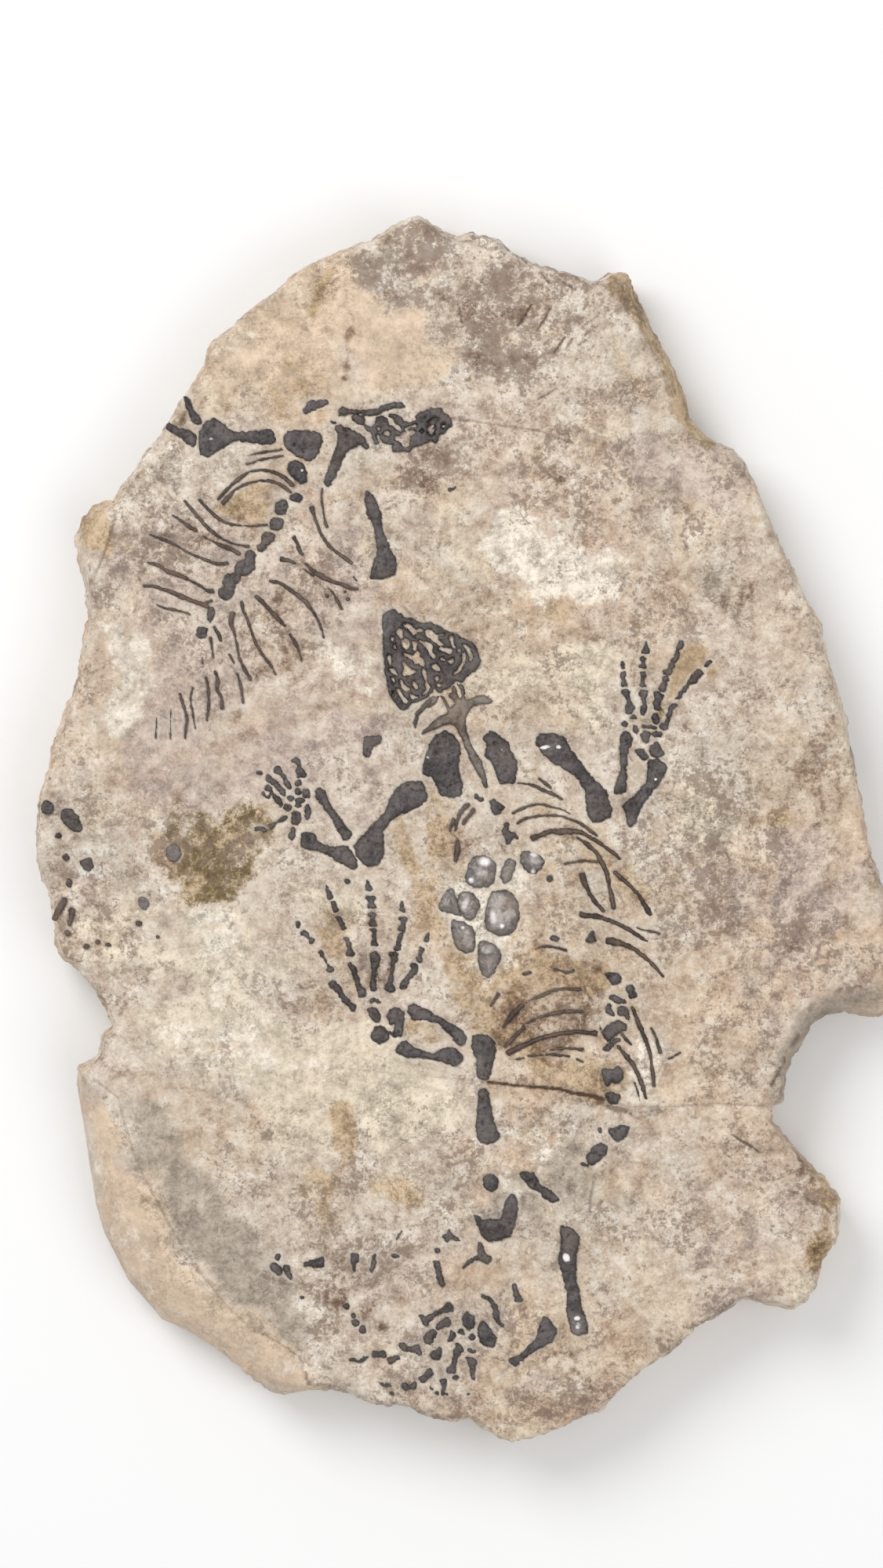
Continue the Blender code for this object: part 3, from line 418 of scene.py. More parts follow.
# The main skull's outline, and the pits between its walls, tooth rows and palate ridges.
SKULL_OUTLINE = (
    (498, 777), (504, 778), (507, 782), (513, 784), (515, 788), (520, 788), (527, 790), (534, 793),
    (539, 795), (545, 795), (549, 793), (552, 796), (562, 799), (567, 803), (574, 807), (580, 808),
    (586, 810), (593, 816), (598, 817), (604, 821), (607, 827), (609, 834), (613, 842), (611, 849),
    (607, 855), (599, 860), (592, 865), (589, 871), (583, 868), (577, 873), (571, 878), (567, 884),
    (560, 884), (555, 877), (548, 885), (540, 892), (532, 895), (523, 897), (520, 904), (511, 905),
    (505, 899), (501, 893), (497, 886), (495, 876), (493, 865), (490, 855), (491, 845), (489, 835),
    (489, 821), (488, 809), (488, 798), (487, 785), (492, 783),
)
SKULL_PITS = (
    ((505, 805), (509, 801), (513, 802), (513, 808), (515, 813), (511, 815), (508, 810)),
    ((514, 797), (518, 795), (524, 797), (527, 801), (530, 803), (532, 808), (530, 812), (531, 815),
     (527, 813), (523, 807), (519, 802)),
    ((512, 816), (517, 814), (521, 815), (523, 819), (522, 827), (519, 829), (515, 827), (512, 824)),
    ((525, 817), (530, 817), (532, 822), (531, 829), (527, 830), (526, 822)),
    ((532, 816), (537, 817), (543, 819), (549, 820), (552, 824), (552, 832), (556, 838), (553, 841),
     (548, 835), (543, 827), (538, 820)),
    ((542, 804), (546, 802), (551, 803), (552, 807), (557, 810), (568, 808), (567, 811), (560, 811),
     (558, 815), (562, 819), (567, 823), (560, 824), (555, 820), (549, 815), (543, 811)),
    ((530, 803), (536, 802), (540, 803), (540, 806), (531, 806)),
    ((573, 812), (577, 810), (579, 815), (578, 822), (581, 828), (577, 826), (575, 820)),
    ((558, 827), (563, 825), (573, 827), (577, 829), (576, 835), (571, 834), (568, 831), (562, 829)),
    ((560, 839), (564, 838), (568, 843), (565, 844)),
    ((570, 843), (574, 842), (576, 839), (579, 839), (578, 845), (575, 848), (572, 846)),
    ((551, 848), (556, 847), (560, 849), (562, 853), (561, 856), (556, 855), (551, 852)),
    ((514, 832), (520, 834), (526, 836), (530, 833), (532, 829), (535, 833), (535, 838), (539, 841),
     (542, 846), (541, 851), (537, 849), (533, 845), (530, 849), (526, 843), (520, 838), (515, 836)),
    ((514, 842), (516, 845), (519, 849), (523, 853), (529, 854), (530, 858), (525, 860), (515, 863),
     (513, 858), (516, 852), (513, 847)),
    ((539, 853), (542, 856), (544, 862), (544, 868), (549, 877), (546, 882), (539, 888), (537, 887),
     (544, 879), (542, 873), (543, 868), (541, 863), (539, 858)),
    ((526, 870), (530, 871), (533, 875), (534, 878), (530, 880), (527, 875)),
    ((509, 867), (513, 867), (514, 872), (518, 876), (523, 877), (521, 882), (516, 881), (512, 877),
     (510, 872)),
    ((505, 877), (509, 879), (512, 884), (515, 889), (520, 894), (519, 898), (515, 896), (511, 890),
     (508, 885)),
    ((521, 884), (525, 887), (530, 888), (534, 887), (534, 890), (529, 892), (524, 890)),
    ((498, 812), (502, 812), (502, 818), (499, 819)), ((502, 820), (505, 821), (505, 828), (502, 827)),
    ((494, 835), (497, 836), (499, 842), (499, 850), (495, 847)),
    ((496, 853), (501, 851), (504, 855), (508, 859), (507, 863), (503, 861), (499, 859)),
    ((499, 864), (502, 864), (505, 870), (502, 872)), ((500, 881), (503, 882), (502, 889), (500, 889)),
    ((589, 821), (594, 822), (598, 826), (601, 832), (603, 839), (602, 844), (599, 843), (598, 836),
     (596, 829), (592, 825)),
    ((590, 834), (592, 831), (594, 838), (593, 845), (591, 850), (588, 855), (584, 859), (578, 862),
     (577, 860), (582, 855), (587, 850), (589, 844)),
    ((582, 829), (587, 828), (588, 831), (584, 833)), ((553, 864), (557, 862), (561, 866), (558, 869)),
    ((557, 872), (562, 871), (563, 875), (558, 878)),
    ((562, 884), (566, 880), (573, 878), (574, 882), (570, 885), (565, 887)),
)
SECOND_SKULL_OUTLINE = (
    (448, 531), (453, 528), (463, 529), (466, 534), (464, 539), (469, 544), (475, 545), (478, 539),
    (480, 532), (486, 530), (492, 533), (498, 539), (503, 540), (503, 534), (494, 531), (498, 528),
    (508, 530), (513, 534), (515, 539), (521, 538), (528, 538), (533, 536), (530, 532), (535, 526),
    (544, 524), (549, 520), (555, 521), (563, 521), (563, 525), (571, 529), (576, 536), (576, 544),
    (570, 548), (567, 552), (561, 553), (560, 557), (559, 563), (555, 565), (551, 561), (542, 565),
    (533, 568), (527, 570), (522, 576), (512, 576), (501, 575), (500, 570), (504, 567), (498, 566),
    (488, 566), (485, 561), (485, 556), (481, 553), (479, 556), (482, 561), (483, 566), (478, 566),
    (475, 559), (474, 553), (467, 549), (463, 542), (454, 540), (449, 535),
)
SECOND_SKULL_PITS = (
    ((480, 545), (484, 544), (485, 549), (482, 551)),
    ((493, 535), (501, 539), (508, 542), (512, 547), (512, 552), (508, 549), (503, 544), (496, 541)),
    ((489, 551), (494, 549), (498, 552), (495, 556), (490, 556)),
    ((503, 555), (510, 556), (513, 551), (519, 550), (528, 549), (531, 551), (523, 557), (522, 564),
     (521, 569), (515, 570), (512, 565), (507, 562), (503, 561)),
    ((514, 549), (517, 545), (525, 542), (532, 541), (531, 545), (523, 545), (519, 549)),
    ((545, 539), (549, 534), (556, 532), (559, 535), (558, 539), (551, 541)),
    ((562, 545), (564, 540), (568, 539), (568, 544), (565, 548)),
    ((545, 545), (551, 542), (556, 542), (556, 548), (553, 551), (555, 554), (550, 557), (545, 552)),
    ((534, 549), (539, 547), (541, 550), (537, 553)), ((470, 537), (475, 536), (475, 541), (472, 543)),
)
# Bones that are drawn more closely here than as solids.
REDRAWN = {
    "clavicle": (
        (561, 887), (553, 889), (546, 893), (540, 898), (535, 904), (531, 910), (528, 918), (527, 926),
        (530, 929), (532, 921), (536, 912), (541, 905), (545, 902), (549, 902), (553, 899), (557, 894),
    ),
    "interclavicle": (
        (561, 887), (566, 888), (570, 896), (573, 903), (577, 901), (581, 897), (577, 893), (572, 888),
        (577, 884), (577, 875), (580, 874), (582, 882), (586, 891), (589, 891), (588, 881), (585, 876),
        (587, 871), (591, 875), (592, 885), (593, 892), (600, 892), (606, 889), (612, 887), (618, 887),
        (623, 890), (629, 893), (626, 897), (621, 898), (612, 898), (603, 901), (598, 906), (595, 912),
        (594, 920), (595, 932), (598, 941), (603, 953), (609, 963), (614, 971), (618, 983), (622, 1003),
        (619, 1006), (612, 992), (606, 981), (600, 972), (596, 960), (590, 945), (583, 931), (579, 925),
        (573, 923), (562, 927), (550, 931), (543, 935), (537, 938), (540, 932), (546, 926), (556, 917),
        (562, 913), (567, 912), (570, 908), (568, 899), (564, 892),
    ),
}

# Stains and zones of the stone. An oval is (x, y, width, height, turn in degrees, strength), without the turn
# where it has none. A streak is a centre line of (x, y, width) with its strength at the end.
PEACH = (
    (518, 452, 165, 150, 0.9), (350, 470, 110, 140, -30, 0.65), (395, 420, 60, 110, -25, 0.7),
    (440, 345, 70, 70, 0.6), (335, 930, 60, 80, 20, 0.5), (612, 930, 50, 50, 0.5), (655, 1690, 50, 60, 0.7),
    (645, 1238, 50, 28, 0.8), (830, 1540, 100, 120, 0.4), (1000, 900, 60, 120, 10, 0.4),
    (560, 660, 80, 80, 0.35), (700, 1000, 90, 60, -30, 0.4), (900, 1390, 160, 60, 0.3),
    (540, 1180, 70, 90, 0.5),
    ((125, 1425, 50), (145, 1490, 70), (160, 1540, 95), (190, 1590, 105), (215, 1630, 100), (245, 1665, 96),
     (290, 1700, 90), (340, 1735, 84), (385, 1765, 60), 0.85),
    ((150, 1370, 40), (240, 1345, 30), (340, 1335, 20), 0.4),
)
STRAW = (
    (900, 1050, 110, 90, 0.8), (840, 700, 110, 150, 0.3), (690, 850, 170, 150, 0.6), (750, 865, 90, 90, 0.5),
    (290, 1250, 150, 240, 0.8), (420, 1372, 320, 110, 0.75), (505, 1425, 130, 140, 0.8),
    (375, 1440, 90, 110, 0.6), (150, 1180, 130, 110, 0.5), (520, 1745, 70, 70, 0.4),
    (660, 1828, 110, 30, 0.6), (1015, 1645, 60, 44, 0.8), (1063, 1575, 14, 50, 0.7), (770, 545, 90, 60, 0.5),
    (420, 1150, 90, 70, -30, 0.6), (1015, 700, 40, 240, 20, 0.6), (1075, 930, 26, 260, 8, 0.4),
    (620, 690, 120, 110, 0.5), (200, 1300, 120, 60, 0.4), (600, 1460, 60, 90, 0.4),
    (145, 1480, 20, 160, 10, 0.5),
)
CHALK = (
    (650, 1500, 120, 100, 0.35),
    ((112, 1440, 30), (132, 1530, 44), (175, 1620, 44), (235, 1690, 40), (300, 1732, 36), (360, 1756, 30),
     0.3),
    (662, 762, 80, 60, 0.25), (390, 1740, 60, 50, 0.4), (215, 1500, 60, 120, 20, 0.15),
    (152, 870, 70, 170, 0.6), (210, 605, 80, 100, 20, 0.4), (130, 1250, 90, 80, 0.45),
    (560, 1560, 90, 80, 0.45), (700, 710, 170, 70, -18, 0.9), (730, 725, 110, 60, -25, 0.8),
    (650, 670, 70, 50, 0.6), (437, 852, 22, 34, -20, 1.0), (322, 425, 14, 10, 1.0), (540, 563, 10, 8, 1.0),
    (1011, 1580, 8, 8, 1.0), (280, 1200, 90, 110, 0.55), (300, 1330, 130, 70, 0.5), (820, 1368, 60, 80, 0.6),
    (440, 855, 60, 70, 0.5), (690, 445, 24, 14, 0.9), (620, 300, 50, 30, -30, 0.6), (612, 1098, 12, 16, 0.9),
    (603, 1123, 14, 10, 0.9), (690, 1435, 90, 70, 0.4), (860, 680, 60, 60, 0.4), (640, 800, 70, 40, 0.4),
    (616, 1165, 62, 120, 0.75), (655, 1110, 40, 50, 0.6), (632, 1215, 60, 60, 0.4),
    ((1010, 620, 5), (1030, 700, 6), (1055, 800, 5), (1072, 880, 4), 0.7),
    ((155, 1322, 14), (300, 1350, 16), (450, 1362, 16), (610, 1378, 12), 0.25),
)
MAUVE = (
    (215, 870, 130, 240, 0.4), (400, 990, 290, 80, 5, 0.35), (1030, 1090, 110, 180, 0.5),
    (985, 1260, 120, 150, 0.4), (137, 1362, 80, 60, 0.45), (925, 1665, 150, 70, 0.4), (137, 690, 60, 90, 0.4),
    (300, 740, 280, 300, 30, 0.55), (240, 900, 180, 110, 15, 0.5), (310, 985, 260, 80, 15, 0.4),
    (410, 940, 150, 120, 0.45), (150, 1010, 150, 90, 15, 0.45), (680, 335, 220, 70, -12, 0.5),
    (860, 600, 190, 120, 0.6), (1000, 1150, 170, 170, 0.5), (560, 1640, 230, 170, 0.35),
    (600, 1770, 320, 80, 0.35), (890, 1580, 150, 130, 0.45), (480, 1240, 120, 110, 0.5),
    (85, 1110, 60, 180, 0.3), (430, 730, 70, 90, 0.5), (520, 570, 130, 80, 0.4), (150, 720, 40, 60, 0.6),
    (120, 1400, 50, 70, 0.5), (900, 850, 120, 200, 0.3), (420, 1060, 110, 120, 0.35),
    (660, 620, 100, 90, 0.35),
)
# Blue-grey zones. The last two streaks are partly painted shade: the spur's chamfer keeps its grey colour and
# is darkened further as painted shadow, and the thin dark line along the right-hand edge is painted shade of
# the side.
SLATE_AND_EDGE_SHADE = (
    (210, 605, 80, 100, 20, 0.35), (152, 870, 70, 170, 0.5),
    ((185, 1400, 30), (202, 1460, 46), (230, 1505, 56), (248, 1545, 50), (272, 1582, 50), (305, 1610, 66),
     (335, 1640, 66), (375, 1690, 40), 0.5),
    (330, 1620, 90, 44, 35, 0.6), (270, 1575, 60, 60, 0.3),
    ((180, 1400, 60), (215, 1480, 100), (265, 1560, 110), (330, 1640, 120), (390, 1710, 110), 0.35),
    (665, 1525, 160, 120, 0.6), (640, 1540, 80, 70, 0.4), (960, 1265, 60, 130, 0.35),
    (560, 1000, 150, 150, 0.35), (700, 860, 60, 50, 0.4), (620, 310, 60, 30, -30, 0.5),
    (920, 750, 60, 60, 0.5), (740, 1500, 70, 80, 0.4),
    ((1120, 1262, 30), (1070, 1275, 28), (1035, 1305, 30), (1005, 1350, 30), (985, 1390, 24), 0.8),
    ((1004, 640, 7), (1030, 720, 8), (1052, 810, 7), (1078, 900, 6), (1092, 990, 5), 0.8),
)
OCHRE = (
    (262, 1086, 88, 84, 0.5), (336, 1040, 40, 36, 0.35), (430, 1440, 34, 76, 5, 1.0), (310, 640, 60, 80, 0.8),
    (505, 1512, 60, 60, 0.7), (410, 1535, 80, 100, 0.6), (122, 680, 50, 80, 10, 1.0),
    (985, 1050, 80, 40, 20, 0.6), (1035, 1600, 34, 44, 0.9), (1062, 1532, 24, 44, -20, 0.8),
    (1055, 1590, 30, 60, 20, 0.6), (420, 1190, 46, 110, 10, 0.6), (545, 1310, 70, 30, -10, 0.6),
    (1040, 1520, 60, 80, 0.6), (700, 590, 60, 50, 0.5), (670, 1080, 60, 60, 0.3), (725, 765, 60, 40, 0.6),
    (275, 1088, 150, 150, 0.5), (909, 858, 16, 18, 20, 1.0), (845, 905, 12, 30, 0.7), (370, 500, 60, 60, 0.5),
    (800, 470, 60, 80, 0.4), (940, 900, 60, 60, 0.3), (630, 1520, 24, 70, 0.4), (768, 1422, 14, 34, 0.6),
    (575, 1060, 50, 130, 10, 0.7), (720, 1130, 160, 110, 0.35),
    ((790, 362, 30), (825, 405, 26), (850, 450, 24), (872, 520, 34), (905, 565, 16), 1.0),
    ((690, 1030, 34), (745, 1065, 46), (795, 1115, 40), (818, 1155, 20), 0.5),
    ((500, 1050, 30), (540, 1120, 40), (585, 1230, 44), (620, 1300, 50), (690, 1360, 40), (790, 1385, 36),
     0.7),
    ((640, 1270, 60), (680, 1230, 70), (740, 1250, 60), 0.7),
    ((420, 345, 12), (408, 370, 16), (398, 400, 14), 0.8),
    ((868, 826, 12), (882, 840, 38), (868, 862, 28), (855, 884, 10), 1.0),
    ((885, 820, 5), (903, 831, 6), 1.0),
)
UMBER = (
    (530, 345, 100, 50, 5, 0.15), (418, 372, 34, 60, 20, 0.45), (618, 440, 60, 90, 0.4),
    (670, 460, 70, 50, 0.45), (640, 380, 110, 60, 0.38), (790, 390, 50, 60, 0.38), (745, 460, 60, 50, 0.3),
    (310, 650, 50, 60, 0.45), (240, 705, 150, 70, 10, 0.42), (350, 825, 80, 120, 0.56),
    (385, 765, 120, 50, -30, 0.34), (532, 604, 110, 76, 0.6), (408, 728, 80, 34, -35, 0.4),
    (595, 1070, 60, 70, 0.5), (722, 598, 40, 50, 0.52), (722, 762, 40, 26, 0.52), (640, 795, 50, 26, 0.3),
    (578, 800, 30, 20, 0.45), (300, 945, 60, 60, 0.26), (700, 1290, 120, 100, 0.85),
    (670, 1300, 110, 70, -20, 0.6), (760, 1745, 120, 80, 0.3), (300, 900, 140, 70, 15, 0.25),
    (705, 1215, 60, 60, 0.5), (755, 1392, 70, 36, 0.65), (1046, 985, 54, 130, 8, 0.55),
    (1070, 930, 30, 60, 0.38), (1022, 1505, 50, 70, 10, 0.3), (432, 1660, 36, 66, 10, 0.8),
    (440, 1612, 13, 14, 0.4), (785, 1430, 6, 9, 0.5), (232, 530, 16, 30, 0.5), (600, 1072, 22, 16, 0.45),
    (628, 1066, 18, 10, 0.3), (482, 1662, 34, 50, 0.45), (125, 660, 26, 30, 0.45), (945, 765, 50, 50, 0.38),
    (465, 1235, 60, 70, 0.3), ((774, 1411, 10), (798, 1417, 10), (840, 1416, 8), 0.4),
    (1032, 1598, 26, 34, 10, 0.5), (1052, 1581, 5, 4, 1.0), (1020, 1482, 14, 30, 15, 0.6),
    (1018, 1500, 40, 30, 0.45), (880, 842, 26, 40, 30, 0.22), (940, 1620, 40, 50, 0.3),
    (590, 1085, 40, 40, 0.45), (470, 1255, 40, 50, 0.3), (700, 1770, 50, 40, 0.3), (990, 1210, 60, 60, 0.3),
    (1035, 1590, 24, 30, 0.45),
    ((482, 381, 8), (510, 375, 12), (540, 372, 12), (562, 376, 10), (588, 392, 6), 0.4),
    ((452, 398, 6), (446, 430, 9), (440, 465, 9), (434, 492, 6), 0.55),
    ((700, 1035, 18), (750, 1070, 26), (800, 1120, 22), 0.4),
    ((640, 1310, 30), (680, 1330, 40), (740, 1310, 30), 0.8),
)
OLIVE = (
    (578, 790, 26, 16, 20, 0.4), (493, 1236, 10, 26, 15, 0.5), (513, 1242, 12, 26, 0.4),
    (250, 1050, 50, 50, 1.0), (300, 1045, 50, 40, 0.9), (312, 1095, 34, 50, 0.8), (265, 1130, 70, 44, 1.0),
    (240, 1100, 30, 50, 0.8), (290, 1135, 40, 30, 0.8), (272, 1090, 104, 104, 0.75),
    (335, 1052, 40, 20, 15, 0.6), (845, 909, 9, 20, 0.9), (575, 880, 14, 26, 25, 0.8),
    (1035, 1595, 30, 40, 0.6), ((228, 1020, 10), (215, 1060, 8), (222, 1110, 10), 0.7),
)
RUST = (
    (760, 1785, 90, 50, 20, 0.7), (700, 1800, 60, 30, 0.5), (560, 600, 80, 50, 0.4), (960, 690, 60, 30, 0.5),
    (1045, 1000, 60, 120, 8, 0.4), (920, 1210, 30, 50, 0.5), (530, 350, 90, 40, 0.4),
    ((110, 1010, 20), (200, 985, 34), (300, 950, 30), (400, 905, 24), (495, 880, 14), 0.55),
    ((150, 1045, 20), (260, 1000, 26), (360, 960, 20), 0.4),
    ((75, 1080, 20), (80, 1140, 24), (95, 1200, 20), 0.5),
    ((300, 910, 16), (380, 885, 20), (460, 870, 10), 0.4),
)
# Where the stone is smooth, and where it crumbles.
SKIN = (
    (518, 452, 160, 140, 0.9), (380, 440, 120, 170, -25, 0.55), (160, 870, 110, 150, 0.7),
    (420, 1372, 320, 80, 0.5), (600, 620, 160, 120, 0.3), (290, 1250, 150, 240, 0.4), (870, 850, 60, 60, 0.6),
    (210, 1440, 60, 160, 10, 0.5), (300, 950, 300, 100, 18, 0.5),
    ((112, 1430, 40), (120, 1500, 58), (143, 1580, 70), (185, 1655, 70), (240, 1700, 70), (310, 1740, 80),
     (375, 1765, 60), 1.0),
    ((245, 1520, 50), (300, 1620, 60), (370, 1700, 60), 0.4),
    ((1010, 620, 34), (1040, 720, 34), (1065, 820, 34), (1090, 950, 30), 0.6),
    ((1120, 1262, 40), (1070, 1275, 38), (1035, 1305, 36), (1005, 1350, 28), 0.8),
)
CRUMB = (
    (410, 725, 110, 60, -35, 1.0), (530, 605, 130, 90, 1.0), (940, 1130, 120, 220, 0.8),
    (660, 400, 330, 260, 10, 1.0), (530, 340, 150, 90, 0.9), (200, 640, 170, 230, 15, 0.8),
    (700, 590, 260, 160, 0.5), (850, 900, 300, 400, 0.45), (960, 1150, 260, 300, 0.6),
    (850, 1550, 300, 300, 0.4), (480, 1540, 260, 240, 0.5), (620, 1760, 380, 140, 0.7),
    (275, 1088, 130, 130, 1.0), (800, 700, 200, 200, 0.4), (560, 600, 120, 100, 0.6),
    (100, 1130, 110, 240, 0.5), (420, 1650, 110, 120, 0.7), (340, 800, 140, 160, 0.5),
)
# White glints painted as highlights on bones and pebbles, and the pale parts of the pebbles.
PAINTED_HIGHLIGHTS = (
    (618, 1099, 13, 10, 1.0), (601, 1123, 6, 6, 1.0), (584, 1129, 7, 5, 1.0), (681, 1090, 9, 6, -20, 0.8),
    (629, 1170, 7, 16, 10, 0.7), (640, 1181, 5, 5, 1.0), (680, 1112, 5, 6, 0.8), (695, 953, 13, 5, 10, 0.75),
    (712, 953, 6, 5, 0.75), (577, 897, 6, 5, 0.7), (722, 1604, 9, 12, 20, 0.85), (737, 1691, 8, 10, 0.4),
    (736, 1681, 8, 6, 0.85), (665, 1738, 6, 5, 0.8), (836, 994, 3, 3, 0.9), (545, 966, 6, 3, -30, 0.5),
    (640, 957, 5, 2, -45, 0.5), (593, 1153, 6, 16, -20, 0.5), (590, 1183, 4, 3, 0.9), (385, 600, 4, 4, 0.6),
    (269, 560, 6, 4, 0.5),
)
PALE_PARTS = (
    (221, 1088, 26, 30, 0.9), (183, 1152, 18, 20, 0.9), (736, 1690, 18, 26, 0.8), (612, 1352, 10, 18, 0.5),
    (726, 1592, 12, 40, 0.35), (700, 957, 30, 14, 25, 0.4), (642, 958, 20, 12, -20, 0.4),
    (618, 1210, 6, 6, 0.3), (633, 1148, 26, 22, 0.9), (632, 1172, 20, 26, 0.9), (650, 1166, 16, 16, 0.7),
    (592, 1150, 14, 26, -20, 0.9), (598, 1197, 14, 26, 0.8), (612, 1112, 22, 14, -20, 0.7),
    (622, 1210, 18, 14, 0.7), (684, 1096, 20, 12, -20, 0.9), (600, 1160, 10, 10, 0.5),
    (645, 1108, 12, 24, 0.3), (566, 1148, 8, 10, 0.6),
)
# Cracks, scratches and seams: centre lines of (x, y, width) with a depth from 0 to 1 at the end.
CRACKS = (
    ((775, 1411, 5), (786, 1415, 8), (798, 1417, 5), 0.65),
    ((803, 1421, 3), (812, 1427, 3), (824, 1424, 4), (834, 1415, 4), (842, 1416, 3), 0.35),
    ((1012, 1521, 2), (1025, 1527, 3), (1040, 1535, 4), (1055, 1541, 4), (1061, 1549, 3), 0.4),
    ((566, 796, 2), (572, 788, 3), (580, 785, 3), (588, 790, 2), 0.35),
    ((668, 1172, 2), (664, 1183, 2), (670, 1194, 2), (682, 1198, 2), (692, 1192, 2), (694, 1180, 1), 0.3),
    ((513, 773, 3), (521, 781, 4), (529, 790, 3), 0.45),
    ((622, 1380, 3), (661, 1385, 3), (690, 1387, 4), (714, 1389, 4), (729, 1394, 4), (751, 1397, 5),
     (770, 1402, 4), 1.0),
    ((770, 1402, 2), (800, 1411, 2), (850, 1412, 2), (915, 1408, 2), (985, 1411, 2), 0.35),
    ((575, 534, 2), (620, 540, 2), (690, 550, 2), (735, 568, 2), 0.4),
    ((935, 1448, 2), (945, 1455, 3), (955, 1460, 3), (967, 1469, 2), 0.85),
    ((622, 1380, 2), (560, 1374, 2), (500, 1369, 1), (430, 1362, 1), 0.25),
    ((661, 415, 2), (670, 402, 3), (678, 388, 2), 0.8), ((685, 421, 2), (694, 408, 3), (702, 393, 2), 0.8),
    ((639, 404, 2), (650, 394, 2), 0.6), ((707, 449, 2), (715, 438, 3), (721, 429, 2), 0.8),
    ((722, 445, 2), (730, 432, 2), 0.6), ((737, 441, 2), (747, 434, 2), 0.6),
    ((746, 427, 2), (756, 420, 2), 0.6), ((744, 396, 2), (750, 386, 2), 0.6),
    ((754, 410, 2), (764, 400, 2), 0.5), ((689, 347, 2), (700, 360, 3), 0.7),
    ((719, 360, 2), (733, 369, 2), 0.7), ((686, 509, 2), (698, 503, 2), (710, 495, 2), 0.6),
    ((586, 394, 2), (589, 411, 2), 0.7), ((757, 1508, 2), (753, 1528, 3), (752, 1545, 2), 0.5),
    ((390, 1751, 3), (394, 1772, 4), 0.6), ((872, 690, 2), (876, 700, 2), 0.6),
    ((1097, 1258, 3), (1072, 1262, 3), (1054, 1280, 3), (1030, 1304, 3), (1012, 1330, 3), (1000, 1352, 2),
     (984, 1385, 2), 0.7),
    ((805, 403, 2), (830, 432, 2), (843, 460, 2), (853, 512, 2), (880, 545, 2), 0.4),
    ((160, 625, 2), (148, 655, 2), (138, 690, 3), (131, 712, 2), (118, 740, 2), 0.5),
    ((118, 1375, 2), (150, 1400, 2), (167, 1461, 2), (182, 1498, 2), (219, 1568, 2), (252, 1620, 2),
     (289, 1665, 2), (319, 1694, 2), (356, 1713, 2), (382, 1731, 2), (389, 1760, 2), 0.3),
)


def plan(points):
    """Plan points as metres."""
    points = np.asarray(points, float)
    return np.stack([points[..., 0] - PLAN_MIDDLE[0], PLAN_MIDDLE[1] - points[..., 1]], -1) * PLAN_STEP


def deselect():
    if bpy.context.object and bpy.context.object.mode != "OBJECT":
        bpy.ops.object.mode_set(mode="OBJECT")
    bpy.ops.object.select_all(action="DESELECT")


def choose(*objects):
    """Selects only these objects and makes the first one active."""
    deselect()
    for item in objects:
        item.select_set(True)
    bpy.context.view_layer.objects.active = objects[0]


def apply_modifiers(piece):
    choose(piece)
    for modifier in list(piece.modifiers):
        bpy.ops.object.modifier_apply(modifier=modifier.name)


def new_object(name, mesh):
    made = bpy.data.objects.new(name, mesh)
    bpy.context.scene.collection.objects.link(made)
    return made


def read_points(mesh):
    points = np.empty(len(mesh.vertices) * 3)
    mesh.vertices.foreach_get("co", points)
    return points.reshape(-1, 3)


def write_points(mesh, points):
    mesh.vertices.foreach_set("co", np.asarray(points, np.float32).ravel())
    mesh.update()


def write_layer(mesh, name, values):
    """Keeps one number for each point, for the material to read."""
    layer = mesh.attributes.new(name, "FLOAT", "POINT")
    layer.data.foreach_set("value", np.asarray(values, np.float32))


def rounded(outline, rounds=2, keep=0.88):
    """Rounds the corners of a closed outline a little by cutting them again and again."""
    for _ in range(rounds):
        after = np.roll(outline, -1, 0)
        outline = np.stack([outline * keep + after * (1 - keep), outline * (1 - keep) + after * keep], 1)
        outline = outline.reshape(-1, 2)
    return outline


def shrunk(outline, amount):
    """Moves a closed outline inwards by an amount in metres."""
    along = np.roll(outline, -1, 0) - np.roll(outline, 1, 0)
    side = np.stack([-along[:, 1], along[:, 0]], 1)
    side /= np.maximum(np.linalg.norm(side, axis=1), 1e-9)[:, None]
    after = np.roll(outline, -1, 0)
    area = np.sum(outline[:, 0] * after[:, 1] - after[:, 0] * outline[:, 1])
    return outline + side * amount * math.copysign(1, area)


def outline_of(shape):
    """The outline of a bone's shape in metres, or None for a centre line."""
    if not isinstance(shape[0], tuple):
        x, y, width, height = shape
        turns = np.linspace(0, 2 * math.pi, OVAL_SIDES, endpoint=False)
        return plan(np.stack([x + width / 2 * np.cos(turns), y - height / 2 * np.sin(turns)], 1))
    if len(shape[0]) == 2:
        return rounded(plan(shape))
    return None


def node_outline(name):
    """The outline of a CAD node's underside, as a loop of plan points in metres."""
    bm = bmesh.new()
    bm.from_mesh(frame["nodes"][name].data)
    bmesh.ops.remove_doubles(bm, verts=bm.verts, dist=MERGE)
    follow = {}
    for face in bm.faces:
        if face.normal.z > -0.9:
            continue
        for loop in face.loops:
            beyond = loop.edge.link_faces
            if all(other.normal.z < -0.9 for other in beyond):
                continue
            follow[loop.vert.index] = loop.link_loop_next.vert
    start = min(follow)
    outline = []
    index = start
    while not outline or index != start:
        vertex = follow[index]
        outline.append((vertex.co.x, vertex.co.y))
        index = vertex.index
    bm.free()
    if len(outline) != len(follow):
        raise RuntimeError(f"{name} has more than one outline")
    return np.array(outline)


def add_block(bm, outline, low, high):
    """A closed upright block over an outline."""
    area = sum(a[0] * b[1] - b[0] * a[1] for a, b in zip(outline, np.roll(outline, -1, 0)))
    if area < 0:
        outline = outline[::-1]
    floor = [bm.verts.new((x, y, low)) for x, y in outline]
    roof = [bm.verts.new((x, y, high)) for x, y in outline]
    bm.faces.new(floor[::-1])
    bm.faces.new(roof)
    for i in range(len(floor)):
        after = (i + 1) % len(floor)
        bm.faces.new((floor[i], floor[after], roof[after], roof[i]))


